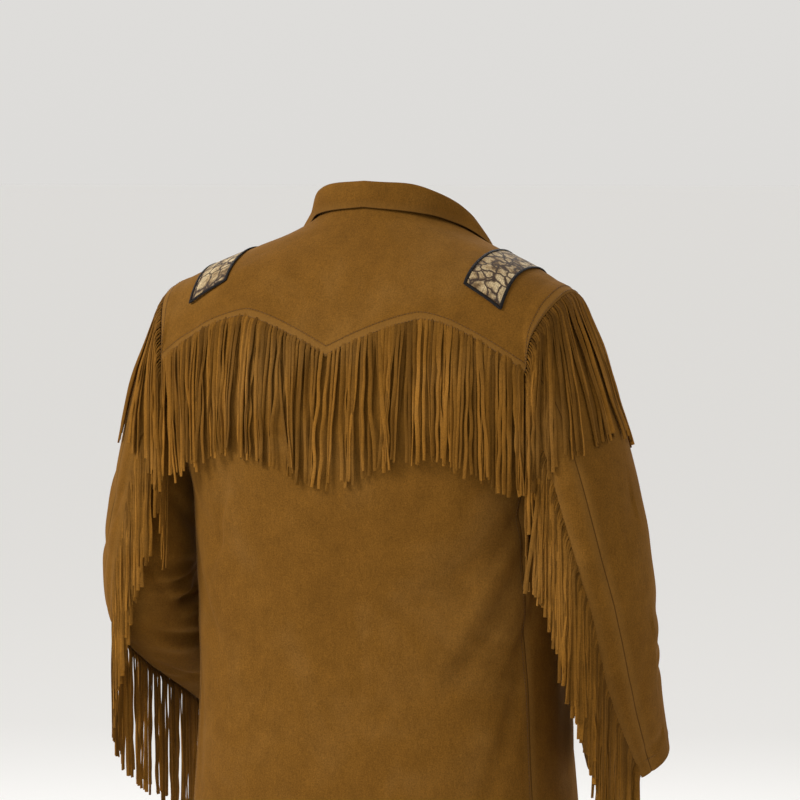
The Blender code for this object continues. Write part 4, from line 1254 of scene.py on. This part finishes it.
def patch_place(across, along):
    """A place on the patch that crosses the shoulder: across 0 to 1 outward, along 0 to 1 from back."""
    x = PATCH_OUT + PATCH_WIDTH * across - 0.008 * (1 - along)
    y = PATCH_BACK + 0.004 * across - 0.124 * along
    return np.stack(np.broadcast_arrays(x, y, shoulder_height(x, y)), -1)


def patch_normal(across, along, reach=0.02):
    side = patch_place(across + reach, along) - patch_place(across - reach, along)
    forward = patch_place(across, along + reach) - patch_place(across, along - reach)
    return unit(np.cross(forward, side))


def make_patch(side, sign):
    mirror = np.array([sign, 1, 1])
    across, along = np.broadcast_arrays(np.linspace(0.04, 0.96, 26)[None, :],
                                        np.linspace(0.014, 0.986, 74)[:, None])
    points, normals = patch_place(across, along) * mirror, patch_normal(across, along) * mirror
    puff = 0.0005 * np.sin(across * math.pi) ** 0.5
    place = np.stack([across * PATCH_WIDTH, along * PATCH_LENGTH, np.full(across.shape, 0.3 * sign)], -1)
    piece = shell(f"patch_leather_{side}", points, normals, PATCH_LIFT - 0.0012 + puff,
                  (False,) * 4, "patch", 0.0, 0.0011, {"place": place})
    dress(piece, f"patch_{side}")
    long, short = np.linspace(0.0, 1.0, 70), np.linspace(0.04, 0.96, 22)
    across = np.concatenate([np.zeros(70), short, np.ones(70), short[::-1]])
    along = np.concatenate([long, np.ones(22), long[::-1], np.zeros(22)])
    line, normal = patch_place(across, along) * mirror, patch_normal(across, along) * mirror
    piece = cord_ring(f"patch_edge_{side}", line + normal * (PATCH_LIFT - 0.0008), normal, 0.0040, 0.0018)
    dress(piece, f"patch_border_{side}")


def ring_points(line, sides, outs, half_width, half_height, corners):
    """Rings round a line's points, across its side ways and out ways."""
    corner = np.arange(corners) * 2 * math.pi / corners
    ring = (sides[:, None, :] * (np.cos(corner) * half_width)[None, :, None]
            + outs[:, None, :] * (np.sin(corner) * half_height)[None, :, None])
    return line[:, None, :] + ring


def cord_ring(name, line, normals, width, height):
    """A raised satin-stitched band round a closed line."""
    ahead = unit(np.roll(line, -1, 0) - np.roll(line, 1, 0))
    points = ring_points(line, unit(np.cross(ahead, normals)), normals, width / 2, height / 2, 10)
    count, corners = points.shape[:2]
    index = np.arange(count * corners).reshape(count, corners)
    after, beside = np.roll(index, -1, 0), np.roll(index, -1, 1)
    faces = np.stack([index, beside, np.roll(beside, -1, 0), after], -1).reshape(-1, 4)
    first = points[0, 0] - line[0]
    if np.dot(np.cross(points[0, 1] - points[0, 0], ahead[0]), first) < 0:
        faces = faces[:, ::-1]
    along = np.repeat(walked_length(line), corners)
    return add_mesh(name, points, faces, "border", {"thread_along": along})


# Sewing
def stitches(name, lines):
    """Stitches along lines of (points, normals), each a small rounded bar of thread."""
    points, alongs = [], []
    for line, normals in lines:
        walked = walked_length(line)
        places = np.arange(STITCH_PITCH, walked[-1] - STITCH_PITCH / 2, STITCH_PITCH)
        spot = read_line(places, walked, line)
        ahead = unit(read_line(places + 0.001, walked, line) - spot)
        out = unit(read_line(places, walked, normals))
        side = unit(np.cross(ahead, out))
        rings = [ring_points(spot + ahead * STITCH_LENGTH * at + out * STITCH_RADIUS * rise, side, out,
                             STITCH_RADIUS * radius, STITCH_RADIUS * radius, STITCH_CORNERS)
                 for at, radius, rise in STITCH_PROFILE]
        points.append(np.stack(rings, 1))
        ring_along = [row[0] * STITCH_LENGTH for row in STITCH_PROFILE]
        alongs.append(np.tile(np.repeat(ring_along, STITCH_CORNERS), len(spot)))
    points = np.concatenate(points)
    faces = tube_faces(np.arange(points.size // 3).reshape(points.shape[:3]))[:, ::-1]
    piece = add_mesh(name, points, faces, "thread", {"thread_along": np.concatenate(alongs)})
    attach(piece, "root")


def sew_yoke(points, normals, distance):
    """Two rows of topstitching along the yoke's edge, following its distance from the edge."""
    lines = []
    for inset in (0.0036, TOPSTITCH_INSET):
        columns = range(points.shape[1])
        lines.append(tuple(np.array([read_line(inset, distance[:, k], values[:, k]) for k in columns])
                           for values in (points, normals)))
    stitches("yoke_stitching", lines)


def sew_collar(line, normals):
    inside, out = line[-4, 4:-4], normals[-4, 4:-4]
    stitches("collar_stitching", [(inside + out * 0.0002, out)])


def body_line(angle, height, lift=0.0):
    angle, height = np.broadcast_arrays(angle, height)
    normal = body_normal(angle, height)
    return body(angle, height) + normal * lift, normal


def sew_body():
    """The hem's row, the front edge's row and one row beside each side seam."""
    hem = np.linspace(-math.radians(176), math.radians(176), 700)
    front = np.linspace(HEM_HEIGHT + 0.004, FRONT_YOKE_HEIGHT - 0.004, 300)
    seam = np.linspace(HEM_HEIGHT + 0.004, -0.318, 300)
    lines = [body_line(hem, HEM_HEIGHT + 0.022),
             body_line(math.radians(LAP_DEGREES[1] - 3.0), front, FRONT_LAP)]
    lines += [body_line(sign * (SIDE_SEAM - 0.022), seam) for sign in (1, -1)]
    stitches("body_stitching", lines)


def sew_sleeves():
    lines = []
    for side in ("left", "right"):
        turn = np.linspace(0, 2 * math.pi, 260)
        along = np.full(260, arm_length(side) - 0.020)
        lines.append((sleeve(side, turn, along), sleeve_normal(side, turn, along)))
    stitches("sleeve_stitching", lines)


def make_buttons():
    """Turned buttons with a rim, each sewn on by two short rows of thread."""
    radii, rises = np.array(BUTTON_PROFILE).T
    around = np.linspace(0, 2 * math.pi, BUTTON_CORNERS + 1)[:-1]
    index = np.arange(len(radii) * BUTTON_CORNERS).reshape(1, len(radii), BUTTON_CORNERS)
    faces = tube_faces(index)[:, ::-1]
    for number, height in enumerate(BUTTON_HEIGHTS, 1):
        spot = body(np.float64(math.pi), np.float64(height))
        out = body_normal(np.float64(math.pi), np.float64(height))
        side = np.array([1.0, 0, 0])
        up = unit(np.cross(out, side))
        middle = spot + out * (FRONT_LAP + 0.0014)
        rings = [middle + out * rise + side * (np.cos(around) * radius)[:, None]
                 + up * (np.sin(around) * radius)[:, None] for radius, rise in zip(radii, rises)]
        piece = add_mesh(f"horn_button_{number}", rings, faces, "button")
        dress(piece, f"button_{number}")
        along = np.linspace(-STITCH_PITCH, STITCH_PITCH * 0.8, 20)[:, None]
        lines = [(middle + out * 0.0012 + side * shift + up * along, np.repeat(out[None, :], 20, 0))
                 for shift in (-0.0016, 0.0016)]
        stitches(f"button_thread_{number}", lines)


# Studio
def make_studio():
    scene = bpy.context.scene
    world = bpy.data.worlds.new("studio")
    scene.world = world
    world.use_nodes = True
    tree = world.node_tree
    where = node(tree, "ShaderNodeTexCoord").outputs["Generated"]
    height = node(tree, "ShaderNodeSeparateXYZ", {0: where}).outputs["Z"]
    sky = ramp(tree, spread(tree, height, 0.0, 0.5), ((0.0, HORIZON_COLOUR), (1.0, ZENITH_COLOUR)))
    tree.links.new(sky, tree.nodes["Background"].inputs["Color"])
    tree.nodes["Background"].inputs["Strength"].default_value = 0.78
    scene.view_settings.view_transform = "Standard"
    bpy.ops.mesh.primitive_plane_add(size=900, location=(0, 0, FLOOR_HEIGHT))
    floor = bpy.context.object
    floor.name = "studio_floor"
    material, _, shader = start_material("studio_floor", 0.9)
    shader.inputs["Base Color"].default_value = FLOOR_COLOUR
    floor.data.materials.append(material)
    for name, place, size, power in LAMPS:
        light = bpy.data.lights.new(name, "AREA")
        light.size = size
        light.energy = power
        lamp = bpy.data.objects.new(name, light)
        lamp.location = place
        aim = LAMP_TARGET - Vector(place)
        lamp.rotation_euler = aim.to_track_quat("-Z", "Y").to_euler()
        scene.collection.objects.link(lamp)


def make_camera():
    """The photo's camera: behind the wearer and to the right, almost level."""
    scene = bpy.context.scene
    out = Vector((math.sin(CAMERA_AZIMUTH) * math.cos(CAMERA_ELEVATION),
                  -math.cos(CAMERA_AZIMUTH) * math.cos(CAMERA_ELEVATION),
                  math.sin(CAMERA_ELEVATION)))
    right = (-out).cross(Vector((0, 0, 1))).normalized()
    up = right.cross(-out)
    middle = IMAGE_SIDE / 2
    target = right * (middle - NECK_PIXEL[0]) * METRES_A_PIXEL
    target = target + up * (NECK_PIXEL[1] - middle) * METRES_A_PIXEL
    lens = bpy.data.cameras.new("camera")
    lens.sensor_width = 36
    lens.lens = 36 * CAMERA_DISTANCE / (IMAGE_SIDE * METRES_A_PIXEL)
    camera = bpy.data.objects.new("camera", lens)
    camera.location = target + out * CAMERA_DISTANCE
    camera.rotation_euler = (-out).to_track_quat("-Z", "Y").to_euler()
    scene.collection.objects.link(camera)
    scene.camera = camera


def main():
    make_studio()
    make_camera()
    make_back()
    yoke = make_yoke()
    collar = make_collar()
    for side, sign in (("left", 1), ("right", -1)):
        make_side(side, sign)
        make_front(side, sign)
        make_sleeve(side)
        make_patch(side, sign)
    tree = cloth_tree(cloth_surfaces)
    make_yoke_fringe(tree)
    for side in ("left", "right"):
        make_armhole_fringe(side, tree)
        make_sleeve_fringe(side, tree)
    sew_yoke(*yoke)
    sew_collar(*collar)
    sew_body()
    sew_sleeves()
    make_buttons()


main()
